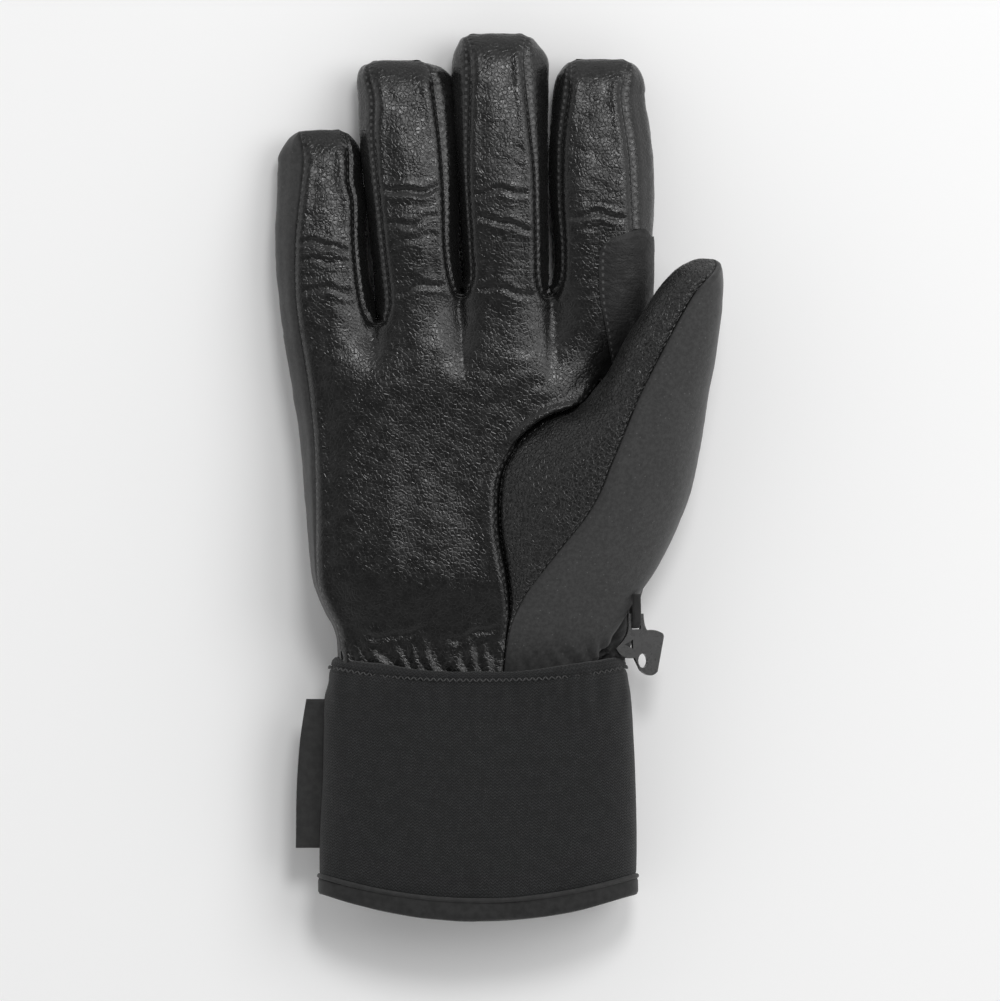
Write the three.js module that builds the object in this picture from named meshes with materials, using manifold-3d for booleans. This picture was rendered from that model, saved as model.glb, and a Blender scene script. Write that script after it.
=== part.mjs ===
// A right-hand ski glove, lying on its back with the palm facing up.
// Millimetres. +Y runs from the cuff to the fingertips, +X towards the thumb, +Z out of the palm.
// The origin is on the plane the glove rests on, under the middle of the hand's back.
import * as THREE from "three";
import Module from "manifold-3d";

const wasm = await Module();
wasm.setup();

// ---- driving dimensions ----
const SKIN = 1.4; // leather or softshell with its backing
const SEAM_GAP = 0.012; // share of a turn left open between sewn panels, about 0.3 mm each side
const AIR = 0.55; // room between nested layers
const FOLD_GAP = 0.45; // room on each side of a fold line, at the depth of its axis
const INSULATION = 3.0;
const MEMBRANE = 0.5;
const FLEECE = 1.4;
const BULGE = 2.8; // exponent of a section's rounded-box curve
const TAPER_END = 0.14; // how small a fingertip section gets before the panels meet

const KNUCKLE_FLEX = 50; // degrees, finger against hand
const MIDDLE_FLEX = 65; // degrees, at the finger's middle crease
const BACK_BEND = 8; // degrees, any finger joint bent backwards
const THUMB_FLEX = 40;
const THUMB_TIP_FLEX = 50;
const WRIST_BEND = 30; // degrees each way

const HAND = { wristY: -60, axisZ: 17, knuckleY: 52 };
const FOLD_DEPTH = 0.58; // height of a finger's fold axis, as a share of its thickness

// Each digit: both ends of its centre line, half width at base, middle and tip, thickness at base and tip,
// and how far along it folds. A wrapped finger has the back's softshell round its outer side.
const FINGERS = {
  index: {
    base: [40.2, 55.5],
    tip: [40.6, 136.5],
    half: [15.2, 15.2, 13.6],
    thick: [28, 25],
    fold: 39,
    wrapped: false,
  },
  middle: {
    base: [9.6, 55.5],
    tip: [6.4, 145.0],
    half: [14.0, 15.1, 14.0],
    thick: [28.5, 25.5],
    fold: 43,
    wrapped: false,
  },
  ring: {
    base: [-19.2, 52.5],
    tip: [-25.0, 136.0],
    half: [13.7, 14.4, 12.9],
    thick: [28, 25],
    fold: 40,
    wrapped: false,
  },
  little: {
    base: [-49.6, 46.0],
    tip: [-52.0, 113.4],
    half: [15.2, 13.8, 11.6],
    thick: [26.5, 23],
    fold: 33,
    wrapped: true,
  },
};

// The thumb's z is the height of its centre line at the base.
const THUMB = {
  base: [57.9, 26.5],
  tip: [74.6, 71.0],
  half: [16.4, 14.4, 11.2],
  thick: [27, 23],
  z: 37,
  fold: 24,
};

// ---- small helpers ----
const rad = (degrees) => (degrees * Math.PI) / 180;
const lerp = (a, b, t) => a + (b - a) * t;
const clamp01 = (t) => Math.min(1, Math.max(0, t));

// A smooth curve through [position, value] pairs.
function track(pairs) {
  const curve = new THREE.SplineCurve(pairs.map(([p, v]) => new THREE.Vector2(p, v)));
  const samples = curve.getPoints(24 * pairs.length);
  return (position) => {
    let k = 1;
    while (k < samples.length - 1 && samples[k].x < position) k += 1;
    const a = samples[k - 1];
    const b = samples[k];
    return lerp(a.y, b.y, clamp01((position - a.x) / (b.x - a.x)));
  };
}

// A point of a rounded-box section at turn t (0 to 1, from +x through +z), as shares of its half sizes.
function roundedBox(t) {
  const angle = 2 * Math.PI * t;
  const c = Math.cos(angle);
  const s = Math.sin(angle);
  return [Math.sign(c) * Math.abs(c) ** (2 / BULGE), Math.sign(s) * Math.abs(s) ** (2 / BULGE)];
}

// ---- a closed shell between two surfaces over the same (u, v) grid ----
function closedShell(outer, inner, nu, nv, wrap = false) {
  const columns = wrap ? nv : nv + 1;
  const count = (nu + 1) * columns;
  const positions = [];
  for (const surface of [outer, inner])
    for (let i = 0; i <= nu; i += 1)
      for (let j = 0; j < columns; j += 1) positions.push(...surface(i / nu, j / nv).toArray());
  const at = (side, i, j) => side * count + i * columns + (wrap ? j % nv : j);
  const index = [];
  const quad = (a, b, c, d) => index.push(a, b, c, a, c, d);
  for (let i = 0; i < nu; i += 1)
    for (let j = 0; j < nv; j += 1) {
      quad(at(0, i, j), at(0, i, j + 1), at(0, i + 1, j + 1), at(0, i + 1, j));
      quad(at(1, i, j), at(1, i + 1, j), at(1, i + 1, j + 1), at(1, i, j + 1));
    }
  for (let j = 0; j < nv; j += 1) {
    quad(at(0, 0, j), at(1, 0, j), at(1, 0, j + 1), at(0, 0, j + 1));
    quad(at(0, nu, j), at(0, nu, j + 1), at(1, nu, j + 1), at(1, nu, j));
  }
  if (!wrap)
    for (let i = 0; i < nu; i += 1) {
      quad(at(0, i, 0), at(0, i + 1, 0), at(1, i + 1, 0), at(1, i, 0));
      quad(at(0, i, nv), at(1, i, nv), at(1, i + 1, nv), at(0, i + 1, nv));
    }
  return facingOut(positions, index);
}

// A closed solid: a loft of one surface with flat ends.
function closedLoft(surface, nu, nv) {
  const positions = [];
  for (let i = 0; i <= nu; i += 1)
    for (let j = 0; j < nv; j += 1) positions.push(...surface(i / nu, j / nv).toArray());
  const at = (i, j) => i * nv + (j % nv);
  const index = [];
  for (let i = 0; i < nu; i += 1)
    for (let j = 0; j < nv; j += 1) {
      index.push(at(i, j), at(i, j + 1), at(i + 1, j + 1), at(i, j), at(i + 1, j + 1), at(i + 1, j));
    }
  for (let j = 1; j < nv - 1; j += 1) {
    index.push(at(0, 0), at(0, j + 1), at(0, j), at(nu, 0), at(nu, j), at(nu, j + 1));
  }
  return facingOut(positions, index);
}

// The geometry with its faces turned outwards.
function facingOut(positions, index) {
  const corner = (k) => new THREE.Vector3().fromArray(positions, 3 * k);
  let volume = 0;
  for (let k = 0; k < index.length; k += 3)
    volume += corner(index[k]).dot(corner(index[k + 1]).cross(corner(index[k + 2])));
  if (volume < 0) {
    for (let k = 0; k < index.length; k += 3) {
      [index[k], index[k + 1]] = [index[k + 1], index[k]];
    }
  }
  const geometry = new THREE.BufferGeometry();
  geometry.setAttribute("position", new THREE.Float32BufferAttribute(positions, 3));
  geometry.setIndex(index);
  return geometry;
}

// ---- booleans ----
function solidOf(geometry) {
  return new wasm.Manifold(
    new wasm.Mesh({
      numProp: 3,
      vertProperties: new Float32Array(geometry.attributes.position.array),
      triVerts: new Uint32Array(geometry.index.array),
    }),
  );
}

// The largest piece of a solid, as a geometry.
function geometryOf(solid) {
  const pieces = solid.decompose().sort((a, b) => b.volume() - a.volume());
  const mesh = pieces[0].getMesh();
  const geometry = new THREE.BufferGeometry();
  geometry.setAttribute("position", new THREE.Float32BufferAttribute(mesh.vertProperties, 3));
  geometry.setIndex(Array.from(mesh.triVerts));
  return geometry;
}

// ---- materials ----
const leather = new THREE.MeshStandardMaterial({ color: 0x27262a, roughness: 0.45, metalness: 0 });
const softshell = new THREE.MeshStandardMaterial({ color: 0x404042, roughness: 0.85, metalness: 0 });
const knit = new THREE.MeshStandardMaterial({ color: 0x27272a, roughness: 0.95, metalness: 0 });
const binding = new THREE.MeshStandardMaterial({ color: 0x2a2a2a, roughness: 0.8, metalness: 0 });
const fleece = new THREE.MeshStandardMaterial({ color: 0x1d1d1f, roughness: 1, metalness: 0 });
const wadding = new THREE.MeshStandardMaterial({ color: 0xd8d8d4, roughness: 1, metalness: 0 });
const film = new THREE.MeshStandardMaterial({ color: 0xb9bcc0, roughness: 0.4, metalness: 0 });
const elastic = new THREE.MeshStandardMaterial({ color: 0x2b2b2b, roughness: 0.9, metalness: 0 });
const plastic = new THREE.MeshStandardMaterial({ color: 0x535355, roughness: 0.35, metalness: 0 });

const glove = new THREE.Group();
function part(name, geometry, material) {
  const mesh = new THREE.Mesh(geometry, material);
  mesh.name = name;
  glove.add(mesh);
  return mesh;
}

// How far a fold's faces lean back at height z, so that both sides clear each other at the joint's limits.
function foldClearance(z, axisZ, flexDegrees, backDegrees) {
  const above = Math.max(0, z - axisZ) * Math.tan(rad(flexDegrees / 2));
  const below = Math.max(0, axisZ - z) * Math.tan(rad(backDegrees / 2));
  return FOLD_GAP + above + below;
}

// ---- a digit as a tapered tube ----
// Returns surface(s, t, inset): the point at distance s along the digit, at turn t round it.
function digitTube(digit, restZ) {
  const base = new THREE.Vector2(...digit.base);
  const tip = new THREE.Vector2(...digit.tip);
  const length = tip.distanceTo(base);
  const along = tip.clone().sub(base).normalize();
  const across = new THREE.Vector2(along.y, -along.x);
  const half = track([[0, digit.half[0]], [length * 0.5, digit.half[1]], [length, digit.half[2]]]);
  const centreZ = restZ + digit.thick[0] / 2;
  const surface = (s, t, inset) => {
    const reach = length - inset;
    const rounding = digit.half[2] * 1.05;
    const into = clamp01((s - (reach - rounding)) / rounding);
    const shrink = Math.max(TAPER_END, Math.sqrt(1 - into * into));
    const thick = lerp(digit.thick[0], digit.thick[1], clamp01(s / length)) / 2;
    const [cx, cz] = roundedBox(t);
    const drop = (digit.thick[0] / 2 - thick) + into * into * thick * 0.35;
    const x = cx * (half(s) - inset) * shrink;
    const z = Math.max(centreZ - drop + cz * (thick - inset) * shrink, restZ + inset);
    return new THREE.Vector3(base.x + along.x * s + across.x * x, base.y + along.y * s + across.y * x, z);
  };
  return { surface, length, centreZ, axisZ: restZ + digit.thick[0] * FOLD_DEPTH };
}

// One panel of a digit's segment: turn range, the fold it starts from, and the fold or tip it ends at.
function digitPanel(tube, turns, from, to, outerInset, innerInset, nu, nv, wrap = false) {
  const open = wrap ? 0 : SEAM_GAP;
  const surfaceAt = (inset) => (u, v) => {
    const t = wrap ? v : lerp(turns[0] + open, turns[1] - open, v);
    const clearOf = (fold) => foldClearance(tube.surface(fold.at, t, inset).z, tube.axisZ, ...fold.bend);
    const start = from.at + clearOf(from);
    const end = to.bend ? to.at - clearOf(to) : to.at - inset;
    // Stations crowd towards the tip, where the tube rounds over.
    const share = to.bend ? u : Math.sin((u * Math.PI) / 2);
    return tube.surface(lerp(start, end, share), t, inset);
  };
  return closedShell(surfaceAt(outerInset), surfaceAt(innerInset), nu, nv, wrap);
}

// Turns round a finger at which its panels are sewn together.
const FRONT = [0.145, 0.355];
const LEFT_WALL = [0.355, 0.645];
const BACK = [0.645, 0.855];
const RIGHT_WALL = [0.855, 1.145];

const PLAIN_PANELS = [
  ["front", FRONT, leather],
  ["outer_wall", LEFT_WALL, leather],
  ["back", BACK, softshell],
  ["thumb_side_wall", RIGHT_WALL, leather],
];
const WRAPPED_PANELS = [
  ["front", FRONT, leather],
  ["wall", RIGHT_WALL, leather],
  ["back", [LEFT_WALL[0], BACK[1]], softshell],
];

const LINER_OUT = SKIN + AIR;
const LINER_IN = LINER_OUT + INSULATION + FLEECE;

// The quilted liner of a digit's segment, a tube inside the panels.
function digitLiner(name, tube, from, to, nu) {
  part(name, digitPanel(tube, null, from, to, LINER_OUT, LINER_IN, nu, 14, true), fleece);
}

function addFinger(name, finger) {
  const tube = digitTube(finger, 0);
  const knuckle = { at: 0, bend: [KNUCKLE_FLEX, BACK_BEND] };
  const middle = { at: finger.fold, bend: [MIDDLE_FLEX, BACK_BEND] };
  const end = { at: tube.length };
  const panels = finger.wrapped ? WRAPPED_PANELS : PLAIN_PANELS;
  for (const [panel, turns, material] of panels) {
    const steps = Math.round((turns[1] - turns[0]) * 16);
    part(`${name}_${panel}_base`, digitPanel(tube, turns, knuckle, middle, 0, SKIN, 3, steps), material);
    part(`${name}_${panel}_tip`, digitPanel(tube, turns, middle, end, 0, SKIN, 6, steps), material);
  }
  digitLiner(`${name}_liner_base`, tube, knuckle, middle, 2);
  digitLiner(`${name}_liner_tip`, tube, middle, end, 5);
}

// ---- the hand: a flat tube from wrist to knuckles ----
const handLeft = track([
  [-62, -43.5],
  [-50, -45.6],
  [-37, -52.0],
  [-10, -56.6],
  [15, -58.5],
  [42, -62.6],
  [60, -64.5],
]);
const handRight = track([[-62, 41.5], [-50, 44.0], [-30, 49.0], [0, 53.0], [30, 56.5], [60, 55.5]]);
const handThick = track([[-62, 31], [-40, 35], [0, 36], [35, 32], [60, 28.5]]);
// y of the knuckle fold at each x across the hand.
const knuckleLine = track([
  [-66, 45.2],
  [-49.6, 45.2],
  [-36, 45.6],
  [-28, 50.6],
  [-10, 52.4],
  [4, 55.4],
  [40.2, 55.6],
  [60, 55.2],
]);

// The palm dips under the thumb, beside the index finger's root.
const DIP = { depth: 5, fromX: 26, acrossX: 18, fromY: 4, toY: 54 };

function dipAt(x, y) {
  const across = clamp01((x - DIP.fromX) / DIP.acrossX);
  const along = clamp01((y - DIP.fromY) / (DIP.toY - DIP.fromY));
  return DIP.depth * across * across * (3 - 2 * across) * Math.sin(Math.PI * along);
}

function handPoint(y, t, inset) {
  const [cx, cz] = roundedBox(t);
  const left = handLeft(y);
  const right = handRight(y);
  const half = handThick(y) / 2;
  const x = (left + right) / 2 + cx * ((right - left) / 2 - inset);
  const z = Math.max(half + cz * (half + 0.8 - inset) - Math.max(0, cz) * dipAt(x, y), inset);
  return new THREE.Vector3(x, y, z);
}

// The hand's surface from the wrist fold to the knuckle fold, at share u of the way.
function handSurface(inset) {
  return (u, t) => {
    const wristZ = handPoint(HAND.wristY, t, inset).z;
    const start = HAND.wristY + foldClearance(wristZ, HAND.axisZ, WRIST_BEND, WRIST_BEND);
    const far = handPoint(HAND.knuckleY, t, inset);
    const axisZ = FINGERS.middle.thick[0] * FOLD_DEPTH;
    const end = knuckleLine(far.x) - foldClearance(far.z, axisZ, KNUCKLE_FLEX, BACK_BEND);
    return handPoint(lerp(start, end, u), t, inset);
  };
}

function handPanel(turns, outerInset, innerInset, nu, nv) {
  const turnAt = (v) => lerp(turns[0] + SEAM_GAP / 2, turns[1] - SEAM_GAP / 2, v);
  const outer = handSurface(outerInset);
  const inner = handSurface(innerInset);
  return closedShell((u, v) => outer(u, turnAt(v)), (u, v) => inner(u, turnAt(v)), nu, nv);
}

function handLayer(from, to, outerInset, innerInset, nu, nv) {
  const surfaceAt = (inset) => (u, v) => handSurface(inset)(lerp(from, to, u), v);
  return closedShell(surfaceAt(outerInset), surfaceAt(innerInset), nu, nv, true);
}

// ---- the thumb root: a cone that grows out of the palm and carries the thumb ----
const ROOT = {
  x: track([[-56, 27], [-30, 32], [0, 45.5], [14, 53.2], [26.5, 57.9]]),
  z: track([[-56, 17.5], [-30, 21], [0, 28.5], [14, 33.5], [26.5, 37]]),
  half: track([[-56, 15], [-30, 24], [0, 23.5], [14, 19.5], [26.5, 16.4]]),
  thick: track([[-56, 28], [-30, 38], [0, 37], [14, 32], [26.5, 27]]),
  fromY: -54,
};
const thumbTube = digitTube(THUMB, THUMB.z - THUMB.thick[0] / 2);

// The cone's sections turn with the thumb, so that the last one matches the thumb's first.
function rootPoint(y, t, inset) {
  const [cx, cz] = roundedBox(t);
  const lean = Math.atan2(THUMB.tip[0] - THUMB.base[0], THUMB.tip[1] - THUMB.base[1]);
  const turn = lean * clamp01((y - ROOT.fromY) / (THUMB.base[1] - ROOT.fromY));
  const x = cx * (ROOT.half(y) - inset);
  const z = Math.max(ROOT.z(y) + cz * (ROOT.thick(y) / 2 - inset), 0.6 + inset);
  return new THREE.Vector3(ROOT.x(y) + x * Math.cos(turn), y - x * Math.sin(turn), z);
}

function rootSurface(inset, reach) {
  return (u, t) => {
    const z = rootPoint(THUMB.base[1], t, inset).z;
    const end = THUMB.base[1] - foldClearance(z, thumbTube.axisZ, THUMB_FLEX, BACK_BEND) + reach;
    return rootPoint(lerp(ROOT.fromY, end, u), t, inset);
  };
}

// Turns at which the thumb's leather meets its softshell: on the ridge, and underneath.
const THUMB_LEATHER = [0.29, 0.75];
const THUMB_SOFTSHELL = [-0.25, 0.29];

function rootPanel(turns) {
  const turnAt = (v) => lerp(turns[0] + SEAM_GAP, turns[1] - SEAM_GAP, v);
  const outer = rootSurface(0, 0);
  const inner = rootSurface(SKIN, 0);
  return closedShell((u, v) => outer(u, turnAt(v)), (u, v) => inner(u, turnAt(v)), 8, 9);
}

// The space the hand's skin fills, grown by the room the thumb root keeps to it.
const handBlock = solidOf(closedLoft((u, t) => handPoint(lerp(-62, 62, u), t, -AIR), 12, 32));
// The thumb's way into the hand, through the palm and back.
const thumbWay = solidOf(closedLoft(rootSurface(SKIN + AIR + 1, 4), 8, 24));

// ---- hand panels ----
const PALM_TURNS = [0.09, 0.41];
const BACK_TURNS = [0.41, 1.09];
const palm = solidOf(handPanel(PALM_TURNS, 0, SKIN, 9, 14)).subtract(thumbWay);
const handBack = solidOf(handPanel(BACK_TURNS, 0, SKIN, 9, 22)).subtract(thumbWay);
part("palm_leather", geometryOf(palm), leather);
part("hand_back_softshell", geometryOf(handBack), softshell);
part("thumb_crescent_leather", geometryOf(solidOf(rootPanel(THUMB_LEATHER)).subtract(handBlock)), leather);
part("thumb_root_softshell", geometryOf(solidOf(rootPanel(THUMB_SOFTSHELL)).subtract(handBlock)), softshell);

// Layers inside the hand, from the outside in.
const insulationOut = SKIN + AIR;
const membraneOut = insulationOut + INSULATION + AIR;
const liningOut = membraneOut + MEMBRANE + AIR;
const layerOf = (...args) => geometryOf(solidOf(handLayer(...args)).subtract(thumbWay));
part("hand_insulation", layerOf(0.13, 0.96, insulationOut, insulationOut + INSULATION, 10, 28), wadding);
part("hand_membrane", layerOf(0.02, 0.97, membraneOut, membraneOut + MEMBRANE, 12, 28), film);
part("hand_lining", layerOf(0.02, 0.95, liningOut, liningOut + FLEECE, 12, 28), fleece);
part("wrist_elastic", handLayer(0.03, 0.11, insulationOut, insulationOut + 1.2, 1, 28), elastic);

// The reinforcement at the root of the index finger lies on the palm leather.
const PATCH = { from: [42.5, 36], to: [52.5, 50.5], thick: 1.0 };
function patchSurface(lift) {
  return (u, v) => {
    const y = lerp(PATCH.from[1], PATCH.to[1], u);
    const round = Math.sqrt(1 - clamp01((u - 0.72) / 0.28) ** 2 * 0.8);
    const middle = (PATCH.from[0] + PATCH.to[0]) / 2;
    const x = middle + (v - 0.5) * (PATCH.to[0] - PATCH.from[0]) * round;
    const share = (x - (handLeft(y) + handRight(y)) / 2) / ((handRight(y) - handLeft(y)) / 2);
    const height = (1 - Math.abs(share) ** BULGE) ** (1 / BULGE);
    const top = handThick(y) / 2 + (handThick(y) / 2 + 0.8 - dipAt(x, y)) * height;
    return new THREE.Vector3(x, y, top + lift);
  };
}
part("index_root_patch", closedShell(patchSurface(AIR + PATCH.thick), patchSurface(AIR), 5, 5), leather);

for (const [name, finger] of Object.entries(FINGERS)) addFinger(name, finger);

// ---- thumb ----
const thumbRoot = { at: 0, bend: [THUMB_FLEX, BACK_BEND] };
const thumbMiddle = { at: THUMB.fold, bend: [THUMB_TIP_FLEX, BACK_BEND] };
const thumbEnd = { at: thumbTube.length };

function thumbPanel(name, turns, material, from, to, nu, nv) {
  part(name, digitPanel(thumbTube, turns, from, to, 0, SKIN, nu, nv), material);
}

thumbPanel("thumb_leather_base", THUMB_LEATHER, leather, thumbRoot, thumbMiddle, 2, 8);
thumbPanel("thumb_softshell_base", THUMB_SOFTSHELL, softshell, thumbRoot, thumbMiddle, 2, 9);
thumbPanel("thumb_leather_tip", THUMB_LEATHER, leather, thumbMiddle, thumbEnd, 6, 8);
thumbPanel("thumb_softshell_tip", THUMB_SOFTSHELL, softshell, thumbMiddle, thumbEnd, 6, 9);
digitLiner("thumb_liner_base", thumbTube, thumbRoot, thumbMiddle, 2);
digitLiner("thumb_liner_tip", thumbTube, thumbMiddle, thumbEnd, 5);

// ---- cuff ----
// The knit ends at hemShare of the way down, where the hem band takes over. sleeve and hem are thicknesses.
const CUFF = { hemY: -136.6, bow: 8.6, hemShare: 0.925, sleeve: 1.8, hem: 2.4, piping: 0.85 };
const cuffHalf = track([[-147, 51.2], [-134, 51.6], [-100, 51.4], [-76, 50.4], [-66, 48.0], [-58, 45.5]]);
const cuffThick = track([[-147, 35], [-100, 35], [-70, 34], [-58, 32]]);

// The cuff's surface from the wrist fold (s = 0) to the hem (s = 1). The hem bows down between its sides.
function cuffPoint(s, t, inset) {
  const [cx, cz] = roundedBox(t);
  const wristHalf = cuffThick(HAND.wristY) / 2;
  const wristZ = wristHalf + cz * (wristHalf - inset);
  const start = HAND.wristY - foldClearance(wristZ, HAND.axisZ, WRIST_BEND, WRIST_BEND);
  const y = lerp(start, CUFF.hemY - CUFF.bow * (1 - cx * cx), s);
  const half = cuffThick(y) / 2;
  const z = Math.max(half + cz * (half - inset), 0.3 + inset);
  return new THREE.Vector3(cx * (cuffHalf(y) - inset), y, z);
}

function cuffRing(from, to, outerInset, innerInset, nu, nv) {
  const surfaceAt = (inset) => (u, v) => cuffPoint(lerp(from, to, u), v, inset);
  return closedShell(surfaceAt(outerInset), surfaceAt(innerInset), nu, nv, true);
}

function cuffPiping() {
  const share = CUFF.hemShare + 0.012;
  const loop = [];
  for (let k = 0; k < 48; k += 1) loop.push(cuffPoint(share, k / 48, CUFF.piping * 0.7));
  return new THREE.TubeGeometry(new THREE.CatmullRomCurve3(loop, true), 72, CUFF.piping, 6, true);
}

part("cuff_sleeve", cuffRing(0, CUFF.hemShare - 0.004, 0, CUFF.sleeve, 6, 40), knit);
part("hem_piping", cuffPiping(), binding);
part("hem_band", cuffRing(CUFF.hemShare + 0.028, 1, 0, CUFF.hem, 1, 40), binding);
part("cuff_lining", cuffRing(0.03, 0.985, CUFF.hem + AIR, CUFF.hem + AIR + FLEECE, 5, 36), fleece);

// ---- label: a folded woven tab sewn into the cuff's side seam ----
const LABEL = { x: -52.2, width: 7.6, fromY: -72.4, toY: -121.1, z: 19, thick: 0.9 };
function labelTab() {
  const tab = new THREE.BoxGeometry(LABEL.width, LABEL.fromY - LABEL.toY, LABEL.thick);
  tab.translate(LABEL.x - LABEL.width / 2, (LABEL.fromY + LABEL.toY) / 2, LABEL.z);
  return tab;
}
part("label_tab", labelTab(), binding);

// ---- clip: a moulded hook that swings on a webbing loop at the wrist ----
const CLIP = { at: [51.4, -45.6, 23.5], tilt: 12, thick: 3, bar: 1.1, slot: [3.2, 2.9] };
const LOOP = { width: 2.5, thick: 0.8, inner: 1.75, reach: 7.5 };

// Places clip-local geometry: +y up the glove, +z out of the clip's face.
function placeClip(geometry) {
  const [x, y, z] = CLIP.at;
  return geometry.applyMatrix4(new THREE.Matrix4().makeRotationY(rad(CLIP.tilt)).setPosition(x, y, z));
}

// A polygon's outline as a path.
function outlineOf(kind, corners) {
  return new kind(corners.map(([x, y]) => new THREE.Vector2(x, y)));
}

function oval(centre, radii, corners = 14) {
  const at = (k) => (2 * Math.PI * k) / corners;
  const place = (k) => [centre[0] + radii[0] * Math.cos(at(k)), centre[1] + radii[1] * Math.sin(at(k))];
  return outlineOf(THREE.Path, Array.from({ length: corners }, (_, k) => place(k)));
}

function clipHook() {
  const outline = new THREE.Shape();
  outline.moveTo(-2.5, 1.1);
  outline.lineTo(2.5, 1.1);
  outline.quadraticCurveTo(2.5, -2.6, 3.7, -4.4);
  outline.quadraticCurveTo(6.0, -3.7, 9.0, -5.4);
  outline.lineTo(9.3, -6.4);
  outline.lineTo(7.2, -17.8);
  outline.quadraticCurveTo(5.0, -20.6, 1.6, -17.5);
  outline.lineTo(-0.4, -13.4);
  outline.quadraticCurveTo(-4.9, -14.2, -6.6, -10.2);
  outline.lineTo(-4.4, -8.0);
  outline.quadraticCurveTo(-2.6, -5.6, -2.5, -3.2);
  outline.closePath();
  const [wide, tall] = CLIP.slot;
  const [low, high] = [-CLIP.bar - tall, -CLIP.bar];
  const webSlot = [[-wide / 2, high], [-wide / 2, low], [wide / 2, low], [wide / 2, high]];
  const hookEye = [[-3.9, -9.0], [-1.0, -10.4], [-1.0, -7.4]];
  const window = oval([2.3, -14.3], [1.6, 2.4]);
  outline.holes.push(outlineOf(THREE.Path, webSlot), outlineOf(THREE.Path, hookEye), window);
  const extrusion = { depth: CLIP.thick, bevelEnabled: false, curveSegments: 7 };
  const plate = new THREE.ExtrudeGeometry(outline, extrusion);
  // The plate is thinned round the bar, so that the webbing passes over and under it.
  const solid = solidOf(welded(plate.translate(0, 0, -CLIP.thick / 2)));
  const relief = wasm.Manifold.cube([wide, 4, 2], true);
  const [over, under] = [relief.translate(0, 0.4, CLIP.bar + 1), relief.translate(0, 0.4, -CLIP.bar - 1)];
  return geometryOf(solid.subtract(over).subtract(under));
}

// The webbing runs round the clip's bar and back to the thumb's root.
function clipLoop() {
  const racetrack = (radius, reach) => {
    const shape = new THREE.Shape();
    shape.moveTo(reach, -radius);
    shape.lineTo(reach, radius);
    shape.lineTo(0, radius);
    shape.absarc(0, 0, radius, Math.PI / 2, (3 * Math.PI) / 2, false);
    shape.closePath();
    return shape;
  };
  const band = racetrack(LOOP.inner + LOOP.thick, LOOP.reach);
  band.holes.push(racetrack(LOOP.inner, LOOP.reach - LOOP.thick));
  const extrusion = { depth: LOOP.width, bevelEnabled: false, curveSegments: 10 };
  const geometry = new THREE.ExtrudeGeometry(band, extrusion).translate(0, 0, -LOOP.width / 2);
  // The profile was drawn in (y, z), and its width runs along x.
  const [alongX, alongY, alongZ] = [
    new THREE.Vector3(0, 1, 0),
    new THREE.Vector3(0, 0, 1),
    new THREE.Vector3(1, 0, 0),
  ];
  return welded(geometry.applyMatrix4(new THREE.Matrix4().makeBasis(alongX, alongY, alongZ)));
}

// The geometry with its coincident corners made one.
function welded(geometry) {
  const seen = new Map();
  const positions = [];
  const index = [];
  const from = geometry.attributes.position;
  const count = geometry.index ? geometry.index.count : from.count;
  for (let k = 0; k < count; k += 1) {
    const corner = geometry.index ? geometry.index.getX(k) : k;
    const place = [from.getX(corner), from.getY(corner), from.getZ(corner)];
    const key = place.map((value) => value.toFixed(3)).join();
    if (!seen.has(key)) {
      seen.set(key, seen.size);
      positions.push(...place);
    }
    index.push(seen.get(key));
  }
  const whole = [];
  for (let k = 0; k < index.length; k += 3) {
    const [a, b, c] = index.slice(k, k + 3);
    if (a !== b && b !== c && c !== a) whole.push(a, b, c);
  }
  return facingOut(positions, whole);
}

part("clip_hook", placeClip(clipHook()), plastic);
// The webbing ends at the thumb root's softshell, where it is sewn down.
const rootBlock = solidOf(closedLoft(rootSurface(-AIR, 0), 10, 40));
part("clip_loop", geometryOf(solidOf(placeClip(clipLoop())).subtract(rootBlock)), binding);

export default glove;
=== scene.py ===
"""A padded ski glove for the right hand, lying palm up: leather palm and fingers, softshell back and thumb.

The fabric is built as full panels in millimetres, sewn along shared seams, and then cut into pieces at the
joints.
+Y runs from the cuff to the fingertips, +X to the thumb, +Z out of the palm.
"""

import math

import bpy
import numpy as np
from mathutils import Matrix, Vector, geometry


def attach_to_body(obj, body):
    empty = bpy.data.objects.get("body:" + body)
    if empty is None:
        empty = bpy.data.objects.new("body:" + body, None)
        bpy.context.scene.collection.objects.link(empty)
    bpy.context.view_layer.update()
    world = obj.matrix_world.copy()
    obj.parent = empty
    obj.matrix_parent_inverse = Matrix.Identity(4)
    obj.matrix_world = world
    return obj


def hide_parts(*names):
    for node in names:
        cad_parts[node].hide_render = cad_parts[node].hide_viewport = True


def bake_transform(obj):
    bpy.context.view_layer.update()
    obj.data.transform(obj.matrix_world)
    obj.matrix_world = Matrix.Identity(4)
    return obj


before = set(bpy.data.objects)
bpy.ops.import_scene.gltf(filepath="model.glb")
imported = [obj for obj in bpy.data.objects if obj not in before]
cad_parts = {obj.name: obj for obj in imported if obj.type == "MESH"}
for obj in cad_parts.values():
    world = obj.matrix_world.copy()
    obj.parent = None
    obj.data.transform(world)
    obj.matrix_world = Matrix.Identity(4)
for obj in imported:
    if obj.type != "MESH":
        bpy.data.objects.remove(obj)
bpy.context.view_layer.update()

MM = 0.001
GRID = 1.15          # spacing of a panel's points

# ---- numbers the whole glove shares ----
SEAM_SINK = 1.5       # how far a panel's edge turns in at a seam
SEAM_REACH = 0.95     # how far from the seam that turn begins
HAND_MID_Z = 17.0
GROUND_Z = 0.4        # the back's lowest height, just clear of the ground
NO_SEAM = 20.0        # a seam distance so large that no stitch or groove shows


# ================= curves and fields =================
def smooth(t):
    """A smooth step from 0 to 1."""
    t = np.clip(t, 0.0, 1.0)
    return t * t * (3 - 2 * t)


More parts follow.
